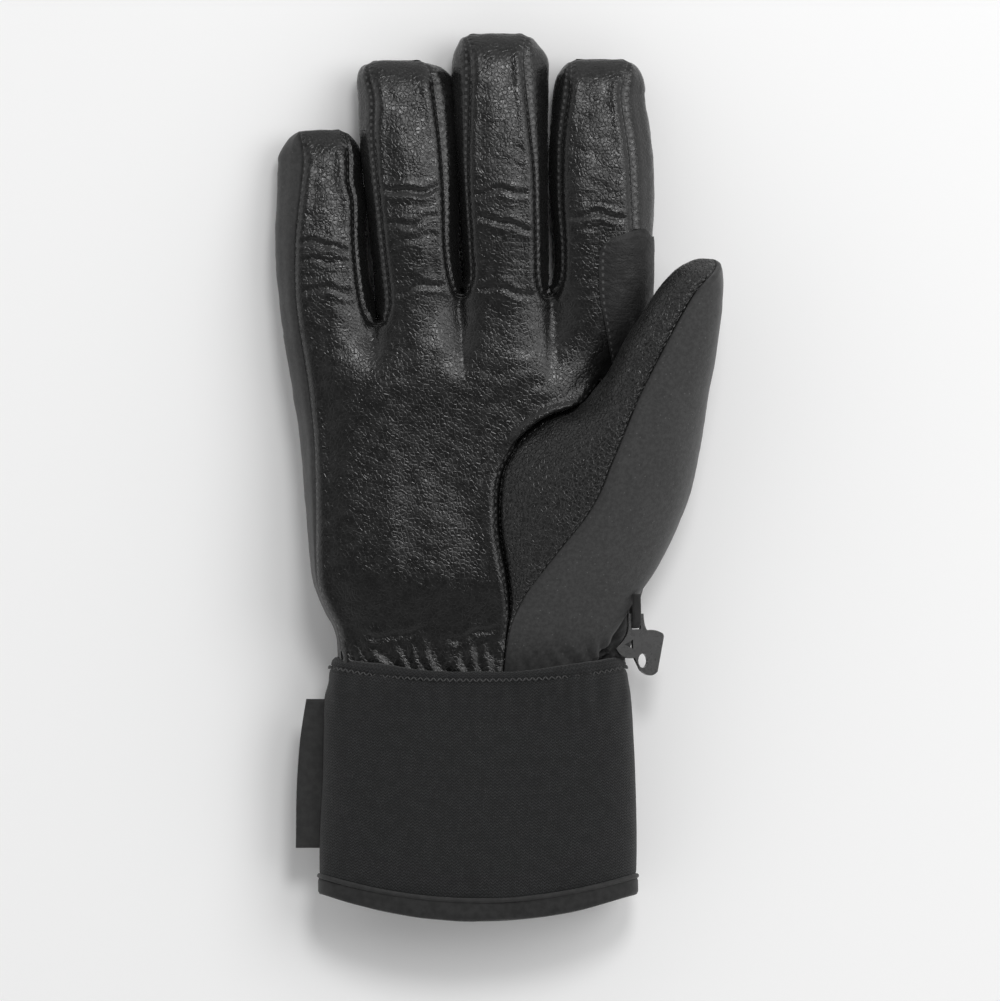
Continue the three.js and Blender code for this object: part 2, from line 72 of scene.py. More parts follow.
def mix(a, b, t):
    return a + (b - a) * t


def curve(points, spacing=GRID):
    """A smooth curve through the points, resampled at even spacing."""
    p = np.array(points, float)
    ext = np.vstack([2 * p[0] - p[1], p, 2 * p[-1] - p[-2]])
    out = []
    t = np.linspace(0, 1, 24, endpoint=False)[:, None]
    for k in range(len(p) - 1):
        a, b, c, d = ext[k], ext[k + 1], ext[k + 2], ext[k + 3]
        out.append(0.5 * (2 * b + (c - a) * t + (2 * a - 5 * b + 4 * c - d) * t ** 2
                          + (3 * b - 3 * c + d - a) * t ** 3))
    return resample(np.vstack([*out, p[-1:]]), spacing)


def run(line):
    """The distance along a line at each of its points."""
    return np.concatenate([[0], np.cumsum(np.linalg.norm(np.diff(line, axis=0), axis=1))])


def unit(vectors):
    """The vectors, one per row, at length 1."""
    return vectors / np.maximum(np.linalg.norm(vectors, axis=1), 1e-9)[:, None]


def averaged(values, reach):
    """The running average of each value with its neighbours up to reach places away."""
    width = 2 * reach + 1
    return np.convolve(np.pad(values, reach, "edge"), np.ones(width) / width, "valid")


def resample(line, spacing):
    """The polyline with points at even spacing."""
    s = run(line)
    count = max(2, int(round(s[-1] / spacing)))
    at = np.linspace(0, s[-1], count + 1)
    return np.column_stack([np.interp(at, s, line[:, k]) for k in range(line.shape[1])])


def along(line, values):
    """Interpolates y of a table of (x, y) pairs, smoothly."""
    xs, ys = zip(*line)
    p = curve(np.column_stack([xs, ys]), 0.5)
    order = np.argsort(p[:, 0])
    return np.interp(values, p[order, 0], p[order, 1])


class Noise:
    """Smooth value noise made of a few sine waves in random directions."""

    def __init__(self, size, waves=14, seed=1):
        rng = np.random.default_rng(seed)
        way = rng.normal(size=(waves, 3))
        pace = (2 * math.pi / size) * rng.uniform(0.6, 1.5, (waves, 1))
        self.k = way * (pace / np.linalg.norm(way, axis=1)[:, None])
        self.phase = rng.uniform(0, 2 * math.pi, waves)

    def __call__(self, p):
        return np.sin(p @ self.k.T + self.phase).mean(axis=1) * math.sqrt(2)


def distance_to(points, line):
    """Distance of each 2-D point to a polyline, and the arc length where it is nearest."""
    a, b = line[:-1, :2], line[1:, :2]
    d = b - a
    length = np.linalg.norm(d, axis=1)
    start = np.concatenate([[0], np.cumsum(length)[:-1]])
    best = np.full(len(points), 1e9)
    arc = np.zeros(len(points))
    for k in range(0, len(points), 4000):
        p = points[k:k + 4000, None, :2]
        t = np.clip(((p - a) * d).sum(2) / np.maximum(length ** 2, 1e-9), 0, 1)
        gap = np.linalg.norm(p - (a + t[..., None] * d), axis=2)
        near = gap.argmin(1)
        rows = np.arange(len(near))
        best[k:k + 4000] = gap[rows, near]
        arc[k:k + 4000] = start[near] + t[rows, near] * length[near]
    return best, arc


# ================= the fingers in plan =================
# Seams of each finger's front strip from root to tip, its centre line and half width, the heights of its
# middle and top, and how far its side walls stand out at the root, half way and near the tip.
FINGERS = {
    "index": dict(
        left=[(25.2, 61.2), (27.0, 66), (27.2, 76), (26.2, 92), (26.7, 110), (29.2, 126), (30.0, 137.0)],
        right=[(52.6, 58), (52.2, 70), (51.4, 82), (50.0, 105), (47.4, 122), (47.4, 128), (49.8, 136.4)],
        axis=[(40.0, 55.5), (39.6, 136.8)], half=17.0, mid=13.2, top=27.6,
        out_left=[3.4, 3.6, 5.0], out_right=[4.4, 7.4, 7.6]),
    "middle": dict(
        left=[(-4.1, 61.4), (-2.6, 66), (-3.1, 76), (-4.3, 99), (-3.7, 118), (-2.9, 138), (-4.6, 145.2)],
        right=[(21.4, 61.2), (20.2, 66), (19.9, 83), (19.4, 100), (17.9, 113), (15.2, 137), (16.6, 145.4)],
        axis=[(9.0, 55.5), (6.3, 145.2)], half=17.0, mid=13.6, top=28.6,
        out_left=[2.9, 3.1, 6.4], out_right=[3.9, 3.7, 8.2]),
    "ring": dict(
        left=[(-31, 52.4), (-29.8, 58), (-31.7, 76), (-34, 99), (-34.6, 113), (-34.2, 124), (-36.4, 134.4)],
        right=[(-6.8, 61.4), (-8.4, 66), (-9.8, 76), (-10.2, 92), (-11.4, 108), (-14.6, 130), (-17.2, 136.3)],
        axis=[(-19.2, 52.5), (-25.6, 136.4)], half=16.2, mid=13.2, top=27.6,
        out_left=[4.3, 4.0, 5.4], out_right=[3.4, 5.2, 7.4]),
    "little": dict(
        left=[(-59.2, 48.0), (-60.6, 60), (-60.4, 78), (-58.0, 97), (-57.3, 105), (-58.6, 112.6)],
        right=[(-35.4, 52.4), (-37.6, 59), (-39.7, 76), (-40.1, 90), (-41.7, 97), (-41.9, 105),
               (-43.2, 113.2)],
        axis=[(-48.6, 46.0), (-51.0, 113.6)], half=15.2, mid=12.4, top=25.4,
        out_left=[5.0, 6.4, 8.2], out_right=[3.9, 3.7, 4.6]),
}
ORDER = ["little", "ring", "middle", "index"]
CROTCHES = {("little", "ring"): (-33.2, 50.4), ("ring", "middle"): (-5.4, 59.5),
            ("middle", "index"): (23.2, 59.1)}
ARCH_FROM = 82.0      # from here to its tip a finger slopes down
ARCH_DROP = 10.0
TIP_FLUSH = 0.75      # share of a seam's depth that is gone at a fingertip
TIP_ROUND = 3.0       # how much further forward a fingertip's middle is than its sides
CAP = 9.5             # length of a fingertip's rounding, seen from above
CAP_POWER = 2.3


def cap_table(height):
    """Arc length, forward reach and height share along a fingertip's rounding."""
    a = np.linspace(0, math.pi / 2, 90)
    forward = CAP * np.sin(a) ** (2 / CAP_POWER)
    up = np.cos(a) ** (2 / CAP_POWER)
    arc = np.concatenate([[0], np.cumsum(np.hypot(np.diff(forward), height * np.diff(up)))])
    return arc, forward, up


for finger in FINGERS.values():
    finger["height"] = finger["top"] - finger["mid"]
    finger["cap"] = cap_table(finger["height"])
    finger["cap_y"] = finger["axis"][1][1] - CAP


def unroll(finger, y):
    """The distance q over the fingertip for a plan y."""
    arc, forward, _ = finger["cap"]
    return np.where(y < finger["cap_y"], y, finger["cap_y"] + np.interp(y - finger["cap_y"], forward, arc))


def roll(finger, q):
    """Plan y and height share for a distance q over the fingertip."""
    arc, forward, up = finger["cap"]
    past = np.maximum(0, q - finger["cap_y"])
    return np.minimum(q, finger["cap_y"]) + np.interp(past, arc, forward), np.interp(past, arc, up)


def arch(finger, y):
    """How far a finger's palm side has sloped down at y."""
    tip = finger["axis"][1][1]
    share = np.clip((y - ARCH_FROM + (145 - tip)) / (145 - ARCH_FROM), 0, 1)
    return ARCH_DROP * share ** 1.6


def tip_side(finger, x, y, up):
    """How far a fingertip falls back from its middle towards its sides."""
    return TIP_ROUND * (1 - up) * np.abs((x - centre_x(finger, y)) / finger["half"]) ** 2.5


def crotch_arc(a, b):
    """The round end of the gap between two fingers, from a's seam to b's."""
    start, end = np.array(FINGERS[a]["right"][0]), np.array(FINGERS[b]["left"][0])
    depth = min(start[1], end[1]) - CROTCHES[(a, b)][1]
    t = np.linspace(0, math.pi, 9)[1:-1]
    return (start + end) / 2 - np.outer(np.cos(t), (end - start) / 2) - np.outer(np.sin(t), (0, depth))


def reach(finger):
    """The distance q at which a fingertip's two sides meet."""
    return finger["cap_y"] + finger["cap"][0][-1]


def seam_line(finger, side):
    """One seam of a finger's front strip in (x, q), from the root to the middle of the fingertip."""
    line = curve(finger[side])
    q = unroll(finger, line[:, 1])
    q[-1] = reach(finger)
    return resample(np.column_stack([line[:, 0], q]), GRID)


# ================= heights =================
ROOTS_END = 62        # up to here neighbouring fingers share one surface


def centre_x(finger, y):
    (x0, y0), (x1, y1) = finger["axis"]
    return x0 + (x1 - x0) * (y - y0) / (y1 - y0)


def finger_of(x, y):
    """Index into ORDER of the finger each point belongs to."""
    return (x > -33.2 - 0.09 * (y - 50)).astype(int) + (x > -5.4 - 0.052 * (y - 59)) + (x > 23.2)


SECTION_POWER = 2.6


def section(u, power=SECTION_POWER):
    """Height share of a rounded section at the share u of its half width."""
    return (1 - np.minimum(np.abs(u), 0.999) ** power) ** (1 / power)


def round_corner(angle, power):
    """Both shares of a rounded box's half sizes at an angle."""
    c, s = np.cos(angle), np.sin(angle)
    return np.sign(c) * np.abs(c) ** (2 / power), np.sign(s) * np.abs(s) ** (2 / power)


def palm_height(x, y):
    """Height of the palm between the wrist and the finger roots."""
    z = HAND_MID_Z + 16.6 * section((x + 4) / 58.5, 2.8) - 3.0 * smooth((y + 38) / 76)
    z -= 4.2 * smooth((-30 - y) / 28)
    z -= 0.9 * np.exp(-((x + 10) / 26) ** 2 - ((y - 4) / 26) ** 2)
    z += 0.5 * np.exp(-((x + 36) / 15) ** 2 - ((y + 12) / 26) ** 2)
    for middle in (-49, -20, 9, 36):
        z += 0.25 * np.exp(-((x - middle) / 10) ** 2 - ((y - 37) / 9) ** 2)
    across = smooth((x - 27) / 18)
    z -= 6.0 * across * np.sin(math.pi * np.clip((y - 4) / 52, 0, 1))
    return z


def front_of(f, x, y, up, q):
    """Height of the palm side over one finger and the palm below it."""
    tube = (f["height"] - arch(f, y)) * section((x - centre_x(f, y)) / f["half"])
    tube = np.where(q < ROOTS_END, np.maximum(tube, f["height"] - 4.5), tube)
    return mix(palm_height(x, y), f["mid"] + tube * up, smooth((q - 28) / 30))


def back_of(f, x, y, up, q):
    """Height of the back under one finger and the hand below it."""
    tube = (f["mid"] + 1.0) * section((x - centre_x(f, y)) / f["half"], 2.2)
    tube = np.where(q < ROOTS_END, np.maximum(tube, f["mid"] - 2.5), tube)
    slab = HAND_MID_Z - 17.8 * section((x - 0.5) / 64, 3.0)
    return mix(slab, f["mid"] - tube * up, smooth((q - 34) / 24))


def surface(height_of, x, q):
    """Plan y and height of a side of the hand at (x, q)."""
    which = finger_of(x, q)
    y, z = q.copy(), np.zeros_like(x)
    for k, name in enumerate(ORDER):
        f, mine = FINGERS[name], which == k
        yy, up = roll(f, q[mine])
        y[mine] = yy - tip_side(f, x[mine], yy, up)
        z[mine] = height_of(f, x[mine], yy, up, q[mine])
    return y, z


def front_height(x, q):
    return surface(front_of, x, q)


def back_height(x, q):
    """The back lies flat where it touches the ground."""
    y, z = surface(back_of, x, q)
    return y, np.maximum(z, GROUND_Z + 0.12 * np.minimum(z, 0))


# ================= creases =================
# Each crease of the palm side: two ends in plan, half width and depth. The leather stands up beside it.
CREASES = [
    ((-60, 76.5), (-42, 75.0), 0.8, 0.7), ((-59, 70.0), (-41, 71.5), 0.7, 0.5),
    ((-60, 60.5), (-40, 61.5), 0.9, 0.4), ((-33, 93.0), (-11, 95.5), 0.9, 0.9),
    ((-32, 83.0), (-12, 85.0), 0.8, 0.5), ((-30, 77.0), (-10, 78.5), 0.7, 0.3),
    ((-30, 61.0), (-9, 62.5), 0.9, 0.4), ((-4, 92.5), (18, 93.5), 0.8, 0.5),
    ((-3, 84.0), (19, 82.0), 0.8, 0.6), ((-3, 61.5), (20, 60.5), 0.9, 0.5),
    ((27, 86.0), (50, 84.5), 0.8, 0.7), ((26, 80.0), (41, 81.0), 0.7, 0.3),
    ((24, 60.5), (40, 60.5), 0.9, 0.3), ((-50, 26.0), (-22, 33.0), 1.8, 0.14),
    ((-14, 38.0), (20, 34.0), 1.8, 0.14), ((2, 22.0), (24, 33.0), 1.8, 0.2),
    ((-38, -51.5), (-16, -50.5), 0.9, 0.5), ((-12, -52.5), (8, -50.0), 0.9, 0.5),
]
FOLD = [(14, 11.0), (20, 15.6), (27, 18.9), (33, 20.9)]      # where the palm turns in under its own edge
LIP = [(13, 12.5), (19, 18.0), (26, 21.5), (33, 24.0), (38, 29.0)]      # the palm's raised edge by the thumb


def crease_field(x, y):
    """How far the creases raise or lower the palm side."""
    total = np.zeros_like(x)
    p = np.column_stack([x, y])
    for a, b, width, depth in CREASES:
        a, b = np.array(a, float), np.array(b, float)
        d = b - a
        length = np.linalg.norm(d)
        t = ((p - a) @ d) / length ** 2
        off = (p - a) @ np.array([-d[1], d[0]]) / length
        off = off + 1.1 * np.sin(5 * t + a[0]) + 0.5 * np.sin(13 * t + a[1])
        fade = smooth((t + 0.08) / 0.3) * smooth((1.08 - t) / 0.3)
        total += fade * depth * (0.55 * np.exp(-((np.abs(off) - 2.1 * width) / width) ** 2)
                                 - np.exp(-(off / width) ** 2))
    return total


def gathers(points):
    """Pleats that the elastic pulls into the fabric at the wrist."""
    x, y = points[:, 0], points[:, 1]
    near = smooth((-46 - y) / 12)
    bend = 1.6 * np.sin(x * 0.31) + 0.9 * np.sin(0.37 * y + 0.11 * x)
    wave = np.sin(x * 1.05 + bend + 0.45 * (y + 55)) + 0.6 * np.sin(x * 1.9 - 0.75 * y - bend)
    sharp = np.abs(wave) ** 0.7 * np.sign(wave)
    return 0.75 * near * sharp


soft_noise = Noise(16, seed=3)
fine_noise = Noise(6.5, seed=5)
grain_noise = Noise(3.2, seed=8)


def drape(points, amount):
    """Uneven padding under the fabric, as a distance along the surface normal."""
    return amount * (0.75 * soft_noise(points) + 0.3 * fine_noise(points) + 0.10 * grain_noise(points))


# ================= panels =================
class Panel:
    """A whole fabric panel before it is cut up for the joints.

    seam holds each point's distance to the nearest seam, arc its place along that seam.
    """

    def __init__(self, name, verts, faces, material, slot, seam=None, arc=None, flip=False):
        self.name, self.material, self.slot = name, material, slot
        self.verts, self.faces = verts, [f[::-1] for f in faces] if flip else faces
        self.seam = np.full(len(verts), NO_SEAM) if seam is None else seam
        self.arc = np.zeros(len(verts)) if arc is None else arc


def flat_mesh(outline):
    """Evenly spaced points and triangles inside a closed 2-D outline."""
    low, high = outline.min(0), outline.max(0)
    row = GRID * math.sqrt(3) / 2
    ys = np.arange(low[1], high[1], row)
    inner = []
    for k, y in enumerate(ys):
        xs = np.arange(low[0] + (k % 2) * GRID / 2, high[0], GRID)
        inner.append(np.column_stack([xs, np.full(len(xs), y)]))
    inner = np.vstack(inner)
    near, _ = distance_to(inner, np.vstack([outline, outline[:1]]))
    inner = inner[near > 0.62 * GRID]
    n = len(outline)
    points = [Vector(p) for p in np.vstack([outline, inner])]
    made = geometry.delaunay_2d_cdt(points, [], [list(range(n))], 1, 1e-5)
    return np.array([tuple(v) for v in made[0]]), [list(f) for f in made[2]]


def panel_normals(verts, faces):
    """Area-weighted vertex normals."""
    tri = np.array([[f[0], f[k], f[k + 1]] for f in faces for k in range(1, len(f) - 1)])
    face = np.cross(verts[tri[:, 1]] - verts[tri[:, 0]], verts[tri[:, 2]] - verts[tri[:, 0]])
    total = np.zeros_like(verts)
    for k in range(3):
        np.add.at(total, tri[:, k], face)
    return unit(total)


def pushed(verts, faces, push):
    """The points moved outwards, each by its own distance."""
    return verts + panel_normals(verts, faces) * push[:, None]


def seam_profile(d):
    """How far the fabric turns in at distance d from a seam, less the roll that stands up beside it."""
    return SEAM_SINK * np.exp(-(d / SEAM_REACH) ** 2) - 0.40 * np.exp(-((d - 2.6) / 1.5) ** 2)


def finger_outline():
    """The outline over the four fingers, from the little finger's outer root to the index's outer root."""
    runs = []
    for k, name in enumerate(ORDER):
        f = FINGERS[name]
        left, right = seam_line(f, "left"), seam_line(f, "right")
        across = resample(np.array([left[-1], right[-1]]), GRID)
        runs += [left, across[1:-1], right[::-1]]
        if k < 3:
            runs.append(crotch_arc(name, ORDER[k + 1]))
    return np.vstack(runs)


ULNAR = [(-45.0, -70), (-45.2, -58), (-46.4, -50), (-50.8, -41), (-53.2, -32), (-53.6, -8), (-54.2, 12),
         (-56.2, 30), (-59.2, 48)]
CRESCENT = [(8.0, -70), (8.4, -58), (9.4, -50), (10.2, -43), (9.3, -33), (7.3, -22), (6.5, -12), (7.2, -0.5),
            (10.9, 7.7), (17.5, 15.0), (24.5, 19.6), (31.5, 21.8), (35.5, 26.0), (40.2, 31.4)]
UNDER_THUMB = [(40.2, 31.4), (45, 30.0), (49.5, 33), (52.0, 43), (52.6, 58)]
BACK_RIGHT = [(42, -70), (42, -55), (44, -40), (46, -20), (48, 0), (50, 20), (51.5, 40), (52.6, 58)]

fingers_line = finger_outline()
ulnar_line = curve(ULNAR)
crescent_line = curve(CRESCENT)
under_line = curve(UNDER_THUMB)
back_right_line = curve(BACK_RIGHT)


def crotch_lines():
    """Seam lines of the finger strips, one for each finger side, each run on into its crotch."""
    lines = []
    for k, name in enumerate(ORDER):
        left, right = seam_line(FINGERS[name], "left"), seam_line(FINGERS[name], "right")
        if k:
            left = np.vstack([crotch_arc(ORDER[k - 1], name)[3:], left])
        if k < 3:
            right = np.vstack([crotch_arc(name, ORDER[k + 1])[3::-1], right])
        lines += [left, right]
    return lines


def nearest_seam(points, lines):
    """Each point's distance to the nearest line, and its place along it."""
    best, arc = np.full(len(points), 1e9), np.zeros(len(points))
    for line in lines:
        d, a = distance_to(points, line)
        closer = d < best
        best[closer], arc[closer] = d[closer], a[closer]
    return best, arc


def wrist_seam(points):
    """The share of a seam's depth left where the thumb's two seams run together into one at the wrist."""
    return 1 - 0.65 * smooth((-40 - points[:, 1]) / 8) * smooth((points[:, 0] + 6) / 6)


def front_panel(material):
    """The palm and the fronts of the fingers."""
    wrist = resample(np.array([crescent_line[0], ulnar_line[0]]), GRID)
    thumb_side = [under_line[::-1][1:], crescent_line[::-1][1:]]
    outline = np.vstack([ulnar_line[:-1], fingers_line, *thumb_side, wrist[1:-1]])
    flat, faces = flat_mesh(outline)
    seam, arc = nearest_seam(flat, [ulnar_line, crescent_line] + crotch_lines())
    y, z = front_height(flat[:, 0], flat[:, 1])
    tip = np.zeros(len(flat))
    for k, name in enumerate(ORDER):
        mine = finger_of(flat[:, 0], flat[:, 1]) == k
        tip[mine] = smooth((flat[mine, 1] - FINGERS[name]["cap_y"]) / 6)
    z += crease_field(flat[:, 0], flat[:, 1]) * (1 - tip)
    z += 0.42 * gathers(flat) * smooth((-49 - y) / 9)
    fold, _ = distance_to(flat, curve(FOLD))
    lip, _ = distance_to(flat, curve(LIP))
    z += 1.6 * np.exp(-(lip / 1.5) ** 2) - 2.2 * np.exp(-(fold / 1.6) ** 2)
    verts = np.column_stack([flat[:, 0], y, z])
    sink = seam_profile(seam) * (1 - TIP_FLUSH * tip) * wrist_seam(verts)
    verts = pushed(verts, faces, drape(verts, 0.55) * smooth(seam / 4) - sink)
    return Panel("front", verts, faces, material, "palm_leather", seam, arc)


def back_panel(material):
    """The back of the hand and of the fingers."""
    wrist = resample(np.array([back_right_line[0], ulnar_line[0]]), GRID)
    outline = np.vstack([ulnar_line[:-1], fingers_line, back_right_line[::-1][1:], wrist[1:-1]])
    flat, faces = flat_mesh(outline)
    seam, arc = nearest_seam(flat, crotch_lines()[1:])
    y, z = back_height(flat[:, 0], flat[:, 1])
    verts = np.column_stack([flat[:, 0], y, z])
    verts = pushed(verts, faces, seam_profile(seam) * smooth((z - GROUND_Z) / 3))
    return Panel("back", verts, faces, material, "softshell", seam, arc, flip=True)


# ================= side walls =================
CROTCH_BULGE = 1.4
TUCK = 0.55           # how far a wall runs on under the panel it is sewn to


def sunk_edge(height, line, sink, facing=1):
    """The points of a surface along a seam, moved into it by sink.

    facing is 1 on the palm side and -1 on the back.
    """
    step = 0.1
    x, q = line[:, 0], line[:, 1]
    y, z = height(x, q)
    y2, z2 = height(x, q + step)
    slope = (height(x + step, q)[1] - height(x - step, q)[1]) / (2 * step)
    length = np.hypot(y2 - y, z2 - z)
    ended = length < step * 0.05
    forward = np.where(ended, 1.0, -(z2 - z) * facing / np.maximum(length, 1e-6))
    upward = np.where(ended, 0.0, (y2 - y) * facing / np.maximum(length, 1e-6))
    normal = unit(np.column_stack([-np.clip(slope, -0.8, 0.8) * upward, forward, upward]))
    return np.column_stack([x, y, z]) - normal * np.reshape(sink, (-1, 1))


def wall_bulge(finger, line, outs):
    """How far a finger's side wall stands out along its seam line."""
    y, _ = roll(finger, line[:, 1])
    root, tip = 58.0, finger["axis"][1][1]
    share = np.clip((y - root) / (tip - CAP - root), 0, 1)
    closing = np.sin(np.clip((tip - y) / CAP, 0, 1) * math.pi / 2) ** 0.8
    return np.interp(share, [0, 0.5, 1], outs) * closing


def tip_share(line):
    """How far over its fingertip each point of a seam is."""
    which = finger_of(line[:, 0], line[:, 1])
    caps = np.array([FINGERS[name]["cap_y"] for name in ORDER])[which]
    return smooth((line[:, 1] - caps) / 6)


def wall_panel(name, line, bulge, material, slot, back_sewn=True):
    """A strip between the palm side's seam and the back's, standing out by bulge."""
    n = int(26 / GRID)
    flush = 1 - TIP_FLUSH * tip_share(line)
    top = sunk_edge(front_height, line, (SEAM_SINK + 0.05) * flush)
    back_z = back_height(line[:, 0], line[:, 1])[1]
    low_sink = SEAM_SINK * flush * smooth((back_z - GROUND_Z) / 3) * back_sewn
    low = sunk_edge(back_height, line, low_sink, facing=-1)
    tangent = unit(np.gradient(line, axis=0))
    out = np.column_stack([-tangent[:, 1], tangent[:, 0], np.zeros(len(line))])
    out = np.apply_along_axis(averaged, 0, out, 2)
    b = np.linspace(0, 1, n + 1)
    swell = np.sin(math.pi * b) ** 0.72
    grid = top[:, None] * (1 - b)[None, :, None] + low[:, None] * b[None, :, None]
    grid += out[:, None] * (bulge[:, None] * swell[None])[..., None]
    tuck = TUCK * smooth(bulge / 2)[:, None] * out
    grid[:, 0] -= tuck
    if back_sewn:
        grid[:, -1] -= tuck
    grid[..., 2] += 0.7 * np.exp(-((b - 0.09) / 0.07) ** 2) * smooth(bulge / 2)[:, None]
    height = np.abs(top[:, 2] - low[:, 2])
    seam = np.minimum(b, 1 - b)[None] * height[:, None]
    verts, faces = grid_mesh(grid)
    verts = pushed(verts, faces, drape(verts, 0.45) * smooth(seam.ravel() / 5))
    return Panel(name, verts, faces, material, slot, seam.ravel(), np.repeat(run(line), n + 1))


def grid_mesh(grid, closed=False):
    """Vertices and quads of a grid of points. A closed grid joins its last column to its first."""
    rows, columns = grid.shape[:2]
    faces = []
    for i in range(rows - 1):
        for j in range(columns - (0 if closed else 1)):
            k = (j + 1) % columns
            faces.append([i * columns + j, i * columns + k, (i + 1) * columns + k, (i + 1) * columns + j])
    return grid.reshape(-1, 3), faces


def gap_wall(a, b, material):
    """The wall that runs down one finger, round the crotch and up the next."""
    fa, fb = FINGERS[a], FINGERS[b]
    down, up = seam_line(fa, "right")[::-1], seam_line(fb, "left")
    turn = crotch_arc(a, b)
    line = np.vstack([down, turn, up])
    bulge = np.concatenate([wall_bulge(fa, down, fa["out_right"]), np.full(len(turn), CROTCH_BULGE),
                            wall_bulge(fb, up, fb["out_left"])])
    return wall_panel(f"wall_{a}_{b}", line, averaged(bulge, 3), material, "palm_leather")


def outer_wall(material):
    """The softshell that wraps from the back round the little finger and the edge of the hand."""
    f = FINGERS["little"]
    line = np.vstack([ulnar_line[:-1], seam_line(f, "left")])
    low = np.interp(ulnar_line[:-1, 1], [-70, -50, -38, -30, -6, 27, 48], [0.8, 0.6, 0.8, 1.6, 3.4, 4.9, 5.2])
    bulge = np.concatenate([low, wall_bulge(f, line[len(ulnar_line) - 1:], f["out_left"])])
    return wall_panel("outer_wall", line, bulge, material, "softshell", back_sewn=False)


def index_wall(material):
    """The index finger's side towards the thumb."""
    f = FINGERS["index"]
    down = seam_line(f, "right")[::-1]
    line = np.vstack([down, under_line[::-1][1:]])
    low = np.interp(under_line[::-1][1:, 1], [30, 45, 58], [0.5, 2.5, 3.8])
    bulge = np.concatenate([wall_bulge(f, down, f["out_right"]), low])
    return wall_panel("wall_index", line, bulge, material, "palm_leather")


# ================= the thumb =================
# Stations from the wrist to the tip of the thumb. Each has the leather's edge in the palm, the ridge seam
# and the outermost line of the softshell in plan, and the heights of those three.
THUMB = [
    (8.0, -64.0, 8.4, -64.0, 36.0, -64.5, 25.0, 25.5, 19.0),
    (8.6, -58.0, 9.0, -57.5, 39.5, -58.5, 27.5, 28.0, 20.5),
    (9.7, -50.0, 10.6, -49.0, 46.0, -49.0, 30.0, 31.0, 20.5),
    (10.2, -41.0, 14.0, -41.5, 52.5, -38.5, 30.6, 33.0, 20.0),
    (9.0, -31.0, 18.6, -34.5, 58.2, -30.0, 30.8, 36.0, 19.0),
    (7.1, -20.0, 27.2, -23.6, 64.6, -18.0, 30.8, 40.0, 19.5),
    (6.6, -9.0, 34.7, -14.2, 68.6, -8.0, 30.8, 43.2, 21.0),
    (8.2, 2.6, 39.8, -5.6, 71.0, 1.0, 30.6, 45.2, 22.5),
    (13.5, 11.6, 43.8, 4.4, 72.8, 10.0, 29.6, 46.2, 24.0),
    (22.2, 18.6, 48.0, 14.6, 74.2, 19.0, 28.0, 46.6, 26.0),
    (31.6, 22.2, 52.9, 26.6, 75.6, 28.0, 28.0, 46.8, 28.5),
    (40.4, 32.0, 58.8, 38.4, 77.8, 39.0, 30.5, 46.8, 30.8),
    (48.8, 46.0, 65.0, 50.3, 79.4, 50.0, 32.0, 46.0, 32.0),
    (55.4, 56.6, 70.6, 60.0, 80.0, 59.0, 32.6, 44.4, 32.6),
    (60.6, 63.6, 75.0, 65.6, 80.2, 64.6, 33.0, 42.6, 33.0),
    (64.4, 67.8, 76.9, 68.0, 79.9, 67.6, 33.2, 39.8, 33.2),
    (68.4, 70.4, 77.8, 69.6, 79.2, 69.4, 33.4, 37.0, 33.4),
    (72.0, 71.6, 77.9, 70.6, 78.5, 70.5, 33.5, 35.0, 33.5),
    (76.8, 71.4, 77.4, 71.2, 77.6, 71.2, 33.6, 33.8, 33.6),
]
THUMB_POWER = 2.3
CLOSING_FROM, CLOSING_OVER = 13.5, 4.503      # where the thumb's tip starts to round off, in stations
BACK_EDGE_Z = 2.3     # height of the softshell's edge under the thumb
THUMB_THICK = 23.0
FREE_FROM = 11        # the station at the thumb's crotch


def thumb_rows():
    """The stations at even spacing, and the station number of each row."""
    table = np.array(THUMB, float)
    order = np.arange(len(table), dtype=float)[:, None]
    rows = curve(np.hstack([table, order]), GRID * 1.5)
    return rows[:, :9], np.clip(rows[:, 9], 0, len(table) - 1)


def quarter(a, start, end, power=THUMB_POWER):
    """Points of a rounded quarter from start, level, to end, upright. start and end are (rows, 3)."""
    across = np.sin(a * math.pi / 2)[None, :, None] ** (2 / power)
    drop = 1 - np.cos(a * math.pi / 2)[None, :] ** (2 / power)
    plan = start[:, None, :2] + (end - start)[:, None, :2] * across
    z = start[:, None, 2] + (end - start)[:, None, 2] * drop
    return np.concatenate([plan, z[..., None]], axis=2)


def with_underside(upper, b, end, start):
    """A grid of the thumb's upper rows, run on from start round to end."""
    lower = quarter(b, end, start)[:, ::-1]
    return np.concatenate([upper, lower[:, 1:], end[:, None]], axis=1)


